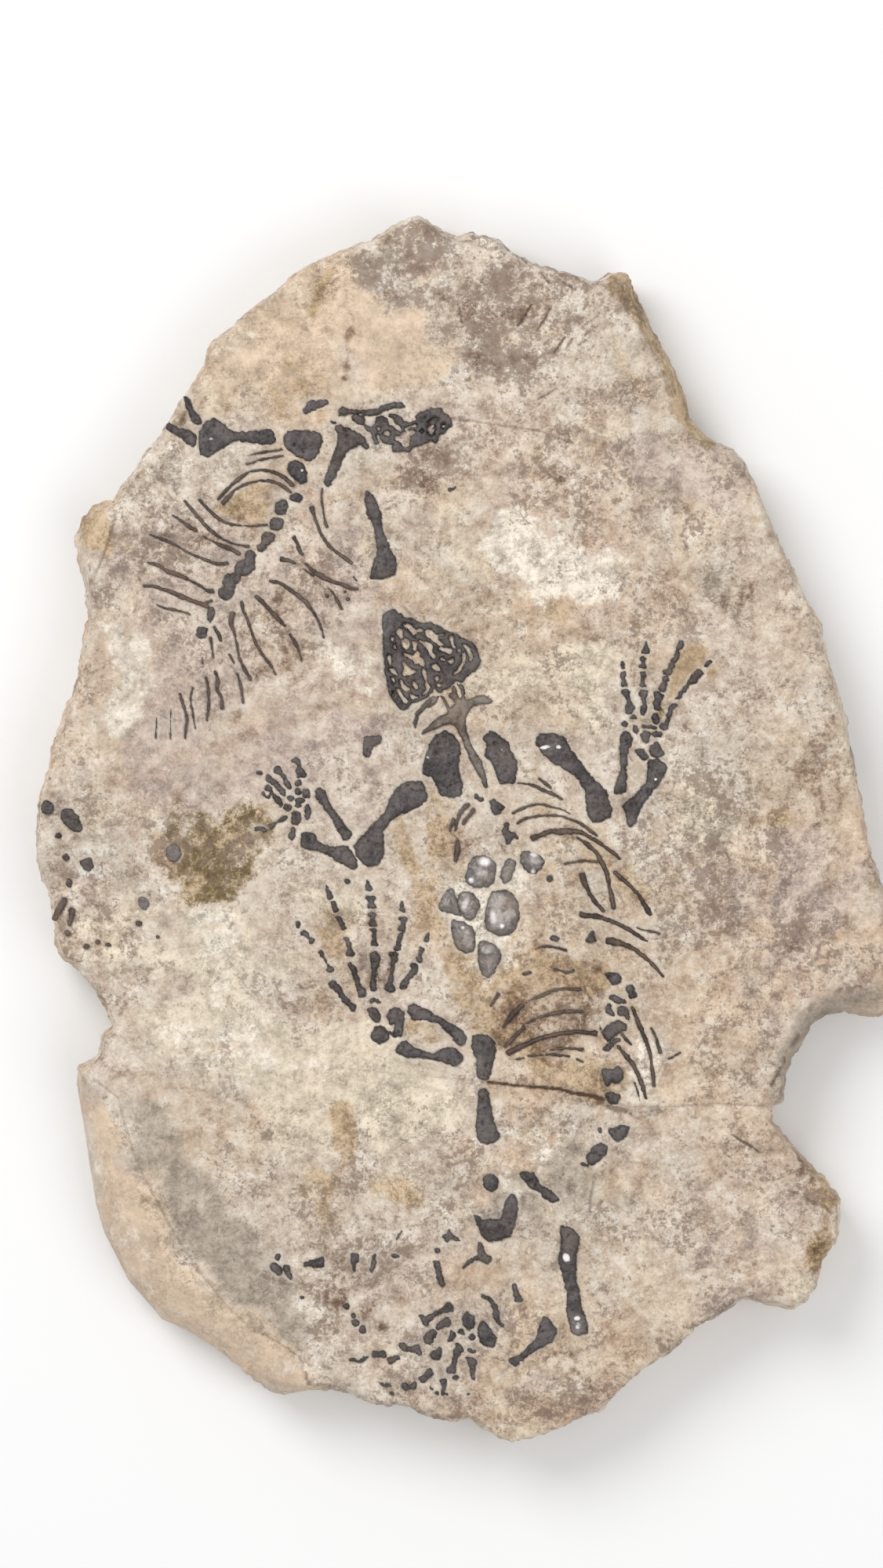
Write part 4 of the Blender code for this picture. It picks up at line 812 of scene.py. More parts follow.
def add_rods(shapes, thickness):
    """One mesh object of tapering, slightly flat rods along centre lines."""
    curve = bpy.data.curves.new("rods", "CURVE")
    curve.dimensions = "3D"
    curve.bevel_depth = 1
    curve.bevel_resolution = 3
    curve.use_fill_caps = True
    for shape in shapes:
        spline = curve.splines.new("BEZIER")
        spline.resolution_u = 5
        spline.bezier_points.add(len(shape) - 1)
        for point, (x, y), (_, _, width) in zip(spline.bezier_points, plan(shape), shape):
            point.co = (x, y, 0)
            point.radius = width / 2 * PLAN_STEP * thickness
            point.handle_left_type = point.handle_right_type = "AUTO"
    rods = new_object("rods", curve)
    choose(rods)
    bpy.ops.object.convert(target="MESH")
    points = read_points(rods.data)
    points[:, 2] = points[:, 2] * ROD_FLATNESS + (FACE + ROD_LIFT)
    write_points(rods.data, points)
    return rods


def refine(piece, voxel, relief, steps):
    """Turns joined blocks and rods into one fine, softly rounded and uneven body."""
    remesh = piece.modifiers.new("body", "REMESH")
    remesh.mode = "VOXEL"
    remesh.voxel_size = voxel
    for name, size, share in RELIEF_LAYERS:
        clouds = bpy.data.textures.get(name) or bpy.data.textures.new(name, "CLOUDS")
        clouds.noise_scale = size
        clouds.noise_depth = 2
        displace = piece.modifiers.new(name, "DISPLACE")
        displace.texture = clouds
        displace.texture_coords = "LOCAL"
        displace.strength = relief * share
        displace.mid_level = 0.5
    smooth = piece.modifiers.new("worn", "SMOOTH")
    smooth.factor = 0.5
    smooth.iterations = steps
    apply_modifiers(piece)


def trim_below(piece, height):
    """Cuts off what lies deep in the stone and closes the cut."""
    choose(piece)
    bpy.ops.object.mode_set(mode="EDIT")
    bpy.ops.mesh.select_all(action="SELECT")
    bpy.ops.mesh.bisect(plane_co=(0, 0, height), plane_no=(0, 0, 1), clear_inner=True, use_fill=True)
    bpy.ops.object.mode_set(mode="OBJECT")


def crown(piece, drop, reach):
    """Domes the top: the rim is lowered by drop, less and less towards the middle, over the given reach."""
    wall_slope, full_drop_height = 0.5, 0.0006
    mesh = piece.data
    points = read_points(mesh)
    normals = np.empty(len(mesh.polygons) * 3)
    mesh.polygons.foreach_get("normal", normals)
    upright = np.abs(normals.reshape(-1, 3)[:, 2]) < wall_slope
    walls = [tuple(face.vertices) for face, is_wall in zip(mesh.polygons, upright) if is_wall]
    tree = BVHTree.FromPolygons([tuple(point) for point in points], walls)
    top = points[:, 2] > FACE
    inward = np.zeros(len(points))
    for i in np.nonzero(top)[0]:
        inward[i] = tree.find_nearest(Vector(points[i]))[3]
    rim = np.exp(-inward / reach) * top
    points[:, 2] -= drop * rim * np.clip((points[:, 2] - FACE) / full_drop_height, 0, 1)
    points[:, 2] = np.minimum(points[:, 2], CAD_HIGH.z)
    write_points(mesh, points)
    # The rim layer feeds the painted shade at the rims of bones and pebbles.
    write_layer(mesh, "rim", rim)


def wear(piece, voxel, relief, steps, depth, drop, reach):
    """Makes joined shapes one worn body, cut off at a depth in the stone and domed by a drop over a reach."""
    refine(piece, voxel, relief, steps)
    trim_below(piece, FACE - depth)
    crown(piece, drop, reach)


def settle(piece, finish, slot, replaced=()):
    """Shades and paints a finished piece and hangs it on the slab's body, in place of CAD nodes."""
    if slot != "stone":
        flat = read_points(piece.data)[:, :2]
        # The glint layer marks white glints painted as highlights; the pale layer marks paler parts of the
        # piece.
        for name, zones in (("painted_highlight", PAINTED_HIGHLIGHTS), ("pale", PALE_PARTS)):
            write_layer(piece.data, name, paint(flat, zones, np.zeros_like(flat)))
    piece.data.materials.clear()
    piece.data.materials.append(finish)
    choose(piece)
    bpy.ops.object.shade_smooth()
    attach(piece, "root")
    if replaced:
        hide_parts(*replaced)
    deselect()


def copy_node(name, piece_name):
    """A merged copy of a CAD node's mesh, as a new object."""
    piece = new_object(piece_name, frame["nodes"][name].data.copy())
    choose(piece)
    bpy.ops.object.mode_set(mode="EDIT")
    bpy.ops.mesh.select_all(action="SELECT")
    bpy.ops.mesh.remove_doubles(threshold=MERGE)
    bpy.ops.object.mode_set(mode="OBJECT")
    return piece


def make_body(name, shapes, rise, outlines=(), thickness=1.0):
    """One mesh object of all the blocks and rods for a group of shapes."""
    bm = bmesh.new()
    lines = []
    for outline in outlines:
        add_block(bm, outline, FACE - SUNK, FACE + rise)
    for shape in shapes:
        outline = outline_of(shape)
        if outline is None:
            lines.append(shape)
        else:
            add_block(bm, outline, FACE - SUNK, FACE + rise)
    mesh = bpy.data.meshes.new(name)
    bm.to_mesh(mesh)
    bm.free()
    piece = new_object(name, mesh)
    if lines:
        rods = add_rods(lines, thickness)
        choose(piece, rods)
        bpy.ops.object.join()
    return piece


class Nodes:
    """Adds shader nodes to one tree and joins them up."""

    def __init__(self, tree):
        self.tree = tree

    def add(self, kind, inputs=None, **settings):
        made = self.tree.nodes.new(kind)
        for name, value in settings.items():
            setattr(made, name, value)
        for name, value in (inputs or {}).items():
            if isinstance(value, bpy.types.NodeSocket):
                self.tree.links.new(value, made.inputs[name])
            else:
                made.inputs[name].default_value = value
        return made

    def noise(self, where, scale, detail, roughness, distortion=0.0):
        """Cloudy noise, by its scale, detail, roughness and distortion."""
        inputs = {"Vector": where, "Scale": scale, "Detail": detail, "Roughness": roughness}
        return self.add("ShaderNodeTexNoise", {**inputs, "Distortion": distortion}).outputs["Fac"]

    def range(self, value, low, high, to_low=0.0, to_high=1.0):
        """Carries a value smoothly from one range, low to high, to another."""
        inputs = {"Value": value, "From Min": low, "From Max": high, "To Min": to_low, "To Max": to_high}
        return self.add("ShaderNodeMapRange", inputs, interpolation_type="SMOOTHSTEP").outputs["Result"]

    def math(self, operation, first, second=0.0):
        return self.add("ShaderNodeMath", {0: first, 1: second}, operation=operation).outputs[0]

    def mix(self, amount, first, second, blend="MIX"):
        colours = {"Factor": amount, 6: first, 7: second}
        return self.add("ShaderNodeMix", colours, data_type="RGBA", blend_type=blend).outputs[2]

    def ramp(self, value, stops):
        made = self.add("ShaderNodeValToRGB", {"Fac": value})
        elements = made.color_ramp.elements
        while len(elements) < len(stops):
            elements.new(0.5)
        for element, (position, colour) in zip(elements, stops):
            element.position = position
            element.color = tint(colour)
        return made.outputs["Color"]

    def layer(self, name):
        return self.add("ShaderNodeAttribute", attribute_name=name).outputs["Fac"]

    def place(self):
        return self.add("ShaderNodeTexCoord").outputs["Object"]

    def ragged(self, groups, place, layer, scale, raggedness):
        """A painted layer with its edge broken up by the shared group."""
        mask = self.layer(layer)
        tree = groups["ragged"]
        return self.group(tree, place=place, mask=mask, scale=scale, raggedness=raggedness)["Mask"]

    def finish(self, shader, colour, height, strength, distance):
        """Joins a colour and a bump to a material's shader."""
        self.tree.links.new(colour, shader.inputs["Base Color"])
        bump = self.add("ShaderNodeBump", {"Height": height, "Strength": strength, "Distance": distance})
        self.tree.links.new(bump.outputs["Normal"], shader.inputs["Normal"])

    def group(self, tree, **inputs):
        made = self.add("ShaderNodeGroup", node_tree=tree)
        for name, value in inputs.items():
            socket = made.inputs[name.replace("_", " ").title()]
            if isinstance(value, bpy.types.NodeSocket):
                self.tree.links.new(value, socket)
            else:
                socket.default_value = value
        return made.outputs


def new_group(name, inputs, outputs):
    """A shader node group of float sockets, and Place, a vector. Returns its nodes, inputs and outputs."""
    tree = bpy.data.node_groups.new(name, "ShaderNodeTree")
    for socket, value in inputs.items():
        kind = "NodeSocketVector" if socket == "Place" else "NodeSocketFloat"
        made = tree.interface.new_socket(name=socket, in_out="INPUT", socket_type=kind)
        if value is not None:
            made.default_value = value
    for socket in outputs:
        tree.interface.new_socket(name=socket, in_out="OUTPUT", socket_type="NodeSocketFloat")
    nodes = Nodes(tree)
    return nodes, nodes.add("NodeGroupInput").outputs, nodes.add("NodeGroupOutput").inputs


def ragged_mask_group():
    """Breaks the soft edge of a painted layer into ragged, grainy patches."""
    nodes, given, result = new_group(
        "Ragged Mask", {"Place": None, "Mask": 0.0, "Scale": 200.0, "Raggedness": 0.7}, ("Mask",)
    )
    flecks = nodes.noise(given["Place"], given["Scale"], 6, 0.7)
    shift = nodes.math("MULTIPLY", nodes.math("SUBTRACT", flecks, 0.5), given["Raggedness"])
    pushed = nodes.math("ADD", given["Mask"], nodes.math("MULTIPLY", shift, 2.2))
    torn = nodes.range(pushed, 0.25, 0.75)
    present = nodes.range(given["Mask"], 0.0, 0.12)
    nodes.tree.links.new(nodes.math("MULTIPLY", torn, present), result["Mask"])
    return nodes.tree


def stone_grain_group():
    """Mudstone grain at all scales: tone, warm, pink and grey patches, dark crumbs and the height."""
    names = ("Tone", "Warmth", "Blush", "Greyness", "Crumbs", "Height")
    nodes, given, result = new_group("Stone Grain", {"Place": None, "Crumb": 0.3}, names)
    place = given["Place"]
    crumb = given["Crumb"]
    tone = nodes.noise(place, 125, 8, 0.84, 0.1)
    warmth = nodes.noise(place, 17, 10, 0.72)
    blush = nodes.noise(place, 12, 10, 0.7, 0.3)
    greyness = nodes.noise(place, 22, 10, 0.72, 0.3)
    fine = nodes.noise(place, 520, 5, 0.8, 0.3)
    clusters = nodes.noise(place, 60, 6, 0.78)
    flakes = nodes.noise(place, 300, 6, 0.75, 0.3)
    patchy = nodes.range(nodes.noise(place, 75, 5, 0.7), 0.38, 0.6)
    seams = nodes.range(nodes.math("ABSOLUTE", nodes.math("SUBTRACT", flakes, 0.5)), 0.0, 0.04, 1, 0)
    lips = nodes.range(nodes.math("ABSOLUTE", nodes.math("SUBTRACT", flakes, 0.57)), 0.0, 0.05, 1, 0)
    chips = nodes.math("MULTIPLY", nodes.math("SUBTRACT", lips, seams), nodes.math("MULTIPLY", patchy, 0.07))
    tone = nodes.math("ADD", tone, chips)
    gathered = nodes.math("ADD", nodes.math("MULTIPLY", clusters, 0.9), nodes.math("MULTIPLY", crumb, 0.16))
    summed = nodes.math("ADD", fine, nodes.math("SUBTRACT", gathered, 0.5))
    crumbs = nodes.range(summed, 0.55, 0.66)
    height = nodes.math("SUBTRACT", tone, nodes.math("MULTIPLY", crumbs, 0.12))
    for name, value in zip(names, (tone, warmth, blush, greyness, crumbs, height)):
        nodes.tree.links.new(value, result[name])
    return nodes.tree


def new_material(name, roughness):
    material = bpy.data.materials.new(name)
    material.use_nodes = True
    shader = material.node_tree.nodes["Principled BSDF"]
    shader.inputs["Roughness"].default_value = roughness
    return material, Nodes(material.node_tree), shader


def tint(colour):
    """A linear colour with its alpha."""
    return (*colour, 1.0)


def stone_material(groups, look):
    """Mudstone: grain, casts, painted zones, dark crumbs, pale halos beside bones and cracks."""
    material, nodes, shader = new_material("mudstone", 0.92)
    place = nodes.place()
    skin = nodes.layer("skin")
    crumb = nodes.layer("crumb")
    grain = nodes.group(groups["grain"], place=place, crumb=crumb)
    calm = nodes.math("SUBTRACT", 1.0, nodes.math("MULTIPLY", skin, 0.55))
    strong = nodes.math("MULTIPLY", calm, nodes.range(crumb, 0.1, 0.9, 1.45, 1.95))
    tone = nodes.math("ADD", 0.54, nodes.math("MULTIPLY", nodes.math("SUBTRACT", grain["Tone"], 0.5), strong))
    shades = (look.dark_stone, look.brown_stone, look.pale_stone, look.cream_stone)
    colour = nodes.ramp(tone, tuple(zip((0.24, 0.42, 0.56, 0.76), shades)))
    casts = (("Warmth", look.warm_cast), ("Blush", look.blush_cast), ("Greyness", look.cool_cast))
    for name, cast in casts:
        amount = nodes.range(grain[name], 0.47, 0.62, 0, 0.6)
        colour = nodes.mix(amount, colour, nodes.mix(1.0, colour, tint(cast), "MULTIPLY"))
    shade = nodes.range(tone, 0.28, 0.72, 0.5, 1.4)
    grains = nodes.range(tone, 0.42, 0.68)
    # Each zone's layer, colour, size and depth of its ragged edge, amount, and how far grains show through.
    # The slate layer also carries painted shade on the spur's chamfer and along the right-hand edge.
    tones = (
        ("mauve", look.mauve_stone, 110, 0.8, 0.92, 0.35), ("straw", look.straw_stone, 90, 0.6, 0.85, 0.1),
        ("peach", look.peach_stone, 110, 0.4, 0.85, 0.1), ("slate_and_edge_shade", look.slate_and_edge_shade_colour, 120, 0.5, 0.85, 0.15),
        ("ochre", look.ochre_stain, 150, 0.8, 0.92, 0.25), ("rust", look.rust_stain, 120, 0.8, 0.88, 0.4),
        ("umber", look.umber_stain, 170, 1.1, 0.9, 0.6), ("olive", look.olive_crust, 240, 1.1, 1.1, 0.85),
        ("chalk", look.chalky_stone, 150, 1.0, 0.75, 0.0),
    )
    for layer, colour_of, scale, raggedness, amount, bared in tones:
        mask = nodes.ragged(groups, place, layer, scale, raggedness)
        shaded = nodes.add("ShaderNodeVectorMath", {0: colour_of, "Scale": shade}, operation="SCALE")
        cover = nodes.math("SUBTRACT", amount, nodes.math("MULTIPLY", grains, bared))
        colour = nodes.mix(nodes.math("MULTIPLY", mask, cover), colour, shaded.outputs[0])
    crumbs = nodes.math("MULTIPLY", nodes.math("MULTIPLY", grain["Crumbs"], calm), 0.72)
    colour = nodes.mix(crumbs, colour, tint(look.speck))
    halo = nodes.ragged(groups, place, "halo", 260, 0.8)
    bare = nodes.math("SUBTRACT", 0.42, nodes.math("MULTIPLY", nodes.layer("umber"), 0.36))
    colour = nodes.mix(nodes.math("MULTIPLY", halo, bare), colour, tint(look.chalky_stone))
    colour = nodes.mix(nodes.layer("crack"), colour, tint(look.crack))
    nodes.finish(shader, colour, grain["Height"], strength=0.5, distance=0.0012)
    return material


def bone_material(groups, look, name, dark, light):
    """Fossil bone: cloudy dark mineral with brown casts and dusty pores, dark rims of painted shade and white
    glints painted as highlights.
    """
    material, nodes, shader = new_material(name, 0.5)
    place = nodes.place()
    cloudy = nodes.noise(place, 120, 9, 0.8)
    casts = nodes.noise(place, 45, 5, 0.7)
    pores = nodes.noise(place, 900, 4, 0.65)
    colour = nodes.mix(nodes.range(cloudy, 0.4, 0.6), tint(dark), tint(light))
    brown = nodes.mix(1.0, colour, tint(look.bone_brown), "MULTIPLY")
    colour = nodes.mix(nodes.range(casts, 0.46, 0.6), colour, brown)
    colour = nodes.mix(nodes.range(pores, 0.62, 0.72, 0, 0.4), colour, tint(look.bone_dust))
    # Painted shade: the bone darkens towards its rim, where it curves down into the stone.
    rim = nodes.math("ADD", nodes.layer("rim"), nodes.range(cloudy, 0.3, 0.7, 0.15, -0.15))
    colour = nodes.mix(nodes.range(rim, 0.25, 1.0, 0, 0.5), colour, tint(look.bone_rim_shade))
    colour = nodes.mix(nodes.math("MULTIPLY", nodes.layer("pale"), pores), colour, tint(look.bone_dust))
    # Painted highlights: white glints mixed into the bone's colour.
    painted_highlight = nodes.ragged(groups, place, "painted_highlight", 500, 0.6)
    colour = nodes.mix(painted_highlight, colour, tint(look.painted_highlight))
    nodes.tree.links.new(nodes.range(cloudy, 0.3, 0.7, 0.38, 0.62), shader.inputs["Roughness"])
    height = nodes.math("ADD", nodes.math("MULTIPLY", pores, 0.4), cloudy)
    nodes.finish(shader, colour, height, strength=0.6, distance=0.0006)
    return material


def pebble_material(groups, look):
    """Polished pebble: veined, with a dark rim of painted shade, a pale core and white glints painted as
    highlights.
    """
    material, nodes, shader = new_material("polished_pebble", 0.2)
    place = nodes.place()
    veins = nodes.noise(place, 170, 8, 0.8, 0.6)
    warmth = nodes.noise(place, 90, 5, 0.7, 0.4)
    pale = nodes.ragged(groups, place, "pale", 300, 0.8)
    colour = nodes.mix(nodes.range(veins, 0.36, 0.62), tint(look.pebble_dark_and_rim_shade), tint(look.pebble_light))
    colour = nodes.mix(nodes.range(warmth, 0.42, 0.6, 0, 0.8), colour, tint(look.pebble_brown), "MULTIPLY")
    colour = nodes.mix(nodes.math("MULTIPLY", pale, 0.75), colour, tint(look.pebble_pale))
    grain = nodes.group(groups["grain"], place=place, crumb=0.4)
    colour = nodes.mix(nodes.math("MULTIPLY", grain["Crumbs"], 0.5), colour, tint(look.speck))
    # Painted shade: the pebble darkens towards its rim, where its dome curves down.
    colour = nodes.mix(nodes.math("MULTIPLY", nodes.layer("rim"), 0.85), colour, tint(look.pebble_dark_and_rim_shade))
    # Painted highlights: white glints on the pebble.
    colour = nodes.mix(nodes.layer("painted_highlight"), colour, tint(look.painted_highlight))
    nodes.finish(shader, colour, veins, strength=0.3, distance=0.0006)
    return material


def material(name):
    """The named material, made with the shared node groups the first time."""
    if name in bpy.data.materials:
        return bpy.data.materials[name]
    look = bpy.context.scene.fossil_look
    groups = {
        "ragged": bpy.data.node_groups.get("Ragged Mask") or ragged_mask_group(),
        "grain": bpy.data.node_groups.get("Stone Grain") or stone_grain_group(),
    }
    if name == "mudstone":
        return stone_material(groups, look)
    if name == "polished_pebble":
        return pebble_material(groups, look)
    if name == "olive_bone":
        return bone_material(groups, look, name, look.girdle_dark, look.girdle_light)
    if name == "brown_rib":
        return bone_material(groups, look, name, look.rib_dark, look.rib_light)
    return bone_material(groups, look, name, look.bone_dark, look.bone_light)


def slab_rings():
    """The slab's edge at each of its heights, read from the CAD slab: arrays of matching points."""
    level = 0.0001
    cad = copy_node("matrix_slab", "edge_guide")
    points = read_points(cad.data)
    bpy.data.objects.remove(cad)
    rings = []
    for share in SLAB_HEIGHTS[:-1]:
        ring = points[np.abs(points[:, 2] - share * FACE) < level]
        turn = np.arctan2(ring[:, 1], ring[:, 0])
        rings.append(ring[np.argsort(turn)])
    if len({len(ring) for ring in rings}) > 1:
        raise RuntimeError(f"the slab's rings have {[len(ring) for ring in rings]} points")
    widest = rings[WIDEST_RING]
    shifts = range(-3, 4)
    for i, ring in enumerate(rings):
        turned = [np.roll(ring, shift, 0) for shift in shifts]
        costs = [np.sum((ring - widest)[:, :2] ** 2) for ring in turned]
        rings[i] = turned[int(np.argmin(costs))]
    face = rings[WIDEST_RING] + (rings[UPPER_RING] - rings[WIDEST_RING]) / HALF_RIM
    face[:, 2] = FACE
    return [*rings, face]


def resample(rings, spacing, levels):
    """Finer rings: points every spacing along the widest one, and the given number of levels up the side."""
    shortest_step = 0.0005
    widest = rings[WIDEST_RING]
    steps = np.linalg.norm(np.roll(widest, -1, 0) - widest, axis=1)
    along = np.concatenate([[0], np.cumsum(steps)])
    count = int(along[-1] / spacing)
    wanted = np.arange(count) * along[-1] / count
    fine = []
    for ring in rings:
        closed = np.vstack([ring, ring[:1]])
        fine.append(np.stack([np.interp(wanted, along, closed[:, axis]) for axis in range(3)], 1))
    stack = np.array(fine)
    rises = np.linalg.norm(np.diff(stack, axis=0), axis=2).mean(1) + shortest_step
    lengths = np.concatenate([[0], np.cumsum(rises)])
    knots = lengths / lengths[-1]
    result = []
    for share in np.linspace(0, 1, levels + 1):
        upper = max(min(int(np.searchsorted(knots, share)), len(stack) - 1), 1)
        part = (share - knots[upper - 1]) / (knots[upper] - knots[upper - 1])
        result.append(stack[upper - 1] * (1 - part) + stack[upper] * part)
    return result


def inside_outline(points, outline):
    """Which points lie inside a closed outline, by counting crossings."""
    inside = np.zeros(len(points), bool)
    for (ax, ay), (bx, by) in zip(outline, np.roll(outline, -1, 0)):
        crosses = (points[:, 1] > ay) != (points[:, 1] > by)
        if crosses.any():
            reach = (bx - ax) * (points[crosses, 1] - ay) / (by - ay) + ax
            inside[crosses] ^= points[crosses, 0] < reach
    return inside


def edge_distance(points, outline):
    """Distance of each point to a closed outline, by its nearest corner, which are closely spaced."""
    tree = KDTree(len(outline))
    for i, (x, y) in enumerate(outline):
        tree.insert((x, y, 0), i)
    tree.balance()
    return np.array([tree.find((x, y, 0))[2] for x, y in points])


def bone_tree():
    """A search tree over every finished bone and pebble."""
    points = []
    faces = []
    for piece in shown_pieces():
        if "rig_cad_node" in piece:
            continue
        start = len(points)
        points.extend(tuple(vertex.co) for vertex in piece.data.vertices)
        faces.extend(tuple(start + i for i in face.vertices) for face in piece.data.polygons)
    return BVHTree.FromPolygons(points, faces)


def scatter(spacing, seed, low, high):
    """A jittered grid of plan points in metres."""
    jitter = 0.28
    random = np.random.default_rng(seed)
    xs = np.arange(low[0], high[0], spacing)
    ys = np.arange(low[1], high[1], spacing)
    grid = np.stack(np.meshgrid(xs, ys), -1).reshape(-1, 2)
    return grid + random.uniform(-jitter, jitter, grid.shape) * spacing


def bone_gap(tree, points):
    """For each plan point its distance to the nearest bone, and whether it is under one."""
    gap = np.empty(len(points))
    under = np.zeros(len(points), bool)
    down = Vector((0, 0, -1))
    for i, (x, y) in enumerate(points):
        found = tree.find_nearest((x, y, FACE), BONE_REACH)
        gap[i] = found[3] if found[0] is not None else BONE_REACH
        if gap[i] < UNDER_REACH:
            under[i] = tree.ray_cast((x, y, FACE + UNDER_REACH), down)[0] is not None
    return gap, under


def slab_points(edge, settings, tree):
    """Plan points for the bedding face: coarse ones all over and fine ones beside bones and cracks."""
    low = edge.min(0)
    high = edge.max(0)
    coarse_gap, fine_gap_to_edge = settings.grid * 0.55, settings.grid * 0.5
    crack_reach, fine_crack_reach, buried_edge = 0.0008, 0.0006, 0.0006
    coarse = scatter(settings.grid, 1, low, high)
    coarse = coarse[inside_outline(coarse, edge)]
    coarse = coarse[edge_distance(coarse, edge) > coarse_gap]
    gap, under = bone_gap(tree, coarse)
    crack = crack_depth(coarse, settings.grid)
    busy = (gap < settings.fine_band + settings.grid) | (crack > 0)
    fine = scatter(settings.fine_grid, 2, low, high)
    cell = settings.grid * 2
    wanted = {(int(x // cell), int(y // cell)) for x, y in coarse[busy]}
    near = set()
    for column, row in wanted:
        near.update((column + i, row + j) for i in (-1, 0, 1) for j in (-1, 0, 1))
    keep = [(int(x // cell), int(y // cell)) in near for x, y in fine]
    fine = fine[keep]
    fine = fine[inside_outline(fine, edge)]
    fine = fine[edge_distance(fine, edge) > fine_gap_to_edge]
    fine_gap, fine_under = bone_gap(tree, fine)
    band = (fine_gap < settings.fine_band) & ~(fine_under & (fine_gap > buried_edge))
    band |= crack_depth(fine, fine_crack_reach) > 0
    fine = fine[band]
    free = coarse[~((gap < settings.fine_band) & ~under) & (crack_depth(coarse, crack_reach) == 0)]
    return np.vstack([free, fine])


def line_distance(points, line):
    """Distance in metres of each plan point to a centre line of (x, y, width), and the half width there."""
    nearest = np.full(len(points), 1.0)
    half = np.zeros(len(points))
    ends = plan([point[:2] for point in line])
    widths = [point[2] / 2 * PLAN_STEP for point in line]
    for a, b, wide_a, wide_b in zip(ends, ends[1:], widths, widths[1:]):
        along = b - a
        share = np.clip(((points - a) @ along) / (along @ along), 0, 1)
        away = np.linalg.norm(points - (a + share[:, None] * along), axis=1)
        closer = away < nearest
        nearest[closer] = away[closer]
        half[closer] = (wide_a + (wide_b - wide_a) * share)[closer]
    return nearest, half


def crack_depth(points, soft=0.0002):
    """How deep each plan point lies in a crack or scratch, from 0 to 1."""
    depth = np.zeros(len(points))
    for *line, strength in CRACKS:
        away, half = line_distance(points, line)
        depth = np.maximum(depth, strength * np.clip((half + soft - away) / soft, 0, 1))
    return depth


def fractal(points, scale, octaves, offset=0.0):
    """Smooth fractal noise from about -1 to 1 at each point."""
    shift = Vector((offset, offset * 0.7, offset * 1.3))
    return np.array([noise.fractal(Vector(p) * scale + shift, 1.0, 2.0, octaves) for p in points])


def paint(points, zones, warp):
    """The strength at each plan point of a layer of soft zones with uneven edges."""
    total = np.zeros(len(points))
    streak_warp, oval_warp, start, slope = 0.35, 0.5, 1.35, 0.85
    for zone in zones:
        if isinstance(zone[0], tuple):
            *line, strength = zone
            width = line[len(line) // 2][2] * PLAN_STEP
            away, half = line_distance(points + warp * width * streak_warp, line)
            reach = away / np.maximum(half, 0.0001)
        else:
            x, y, width, height, *turn, strength = zone
            angle = math.radians(sum(turn))
            moved = points + warp * min(width, height) * PLAN_STEP * oval_warp - plan((x, y))
            across = moved @ np.array([math.cos(angle), math.sin(angle)]) / (width / 2 * PLAN_STEP)
            along = moved @ np.array([-math.sin(angle), math.cos(angle)]) / (height / 2 * PLAN_STEP)
            reach = np.hypot(across, along)
        share = np.clip(start - reach * slope, 0, 1)
        share = share * share * (3 - 2 * share)
        total = total + (1 - total) * share * strength
    return total


COLOUR = {"subtype": "COLOR", "min": 0, "max": 1}


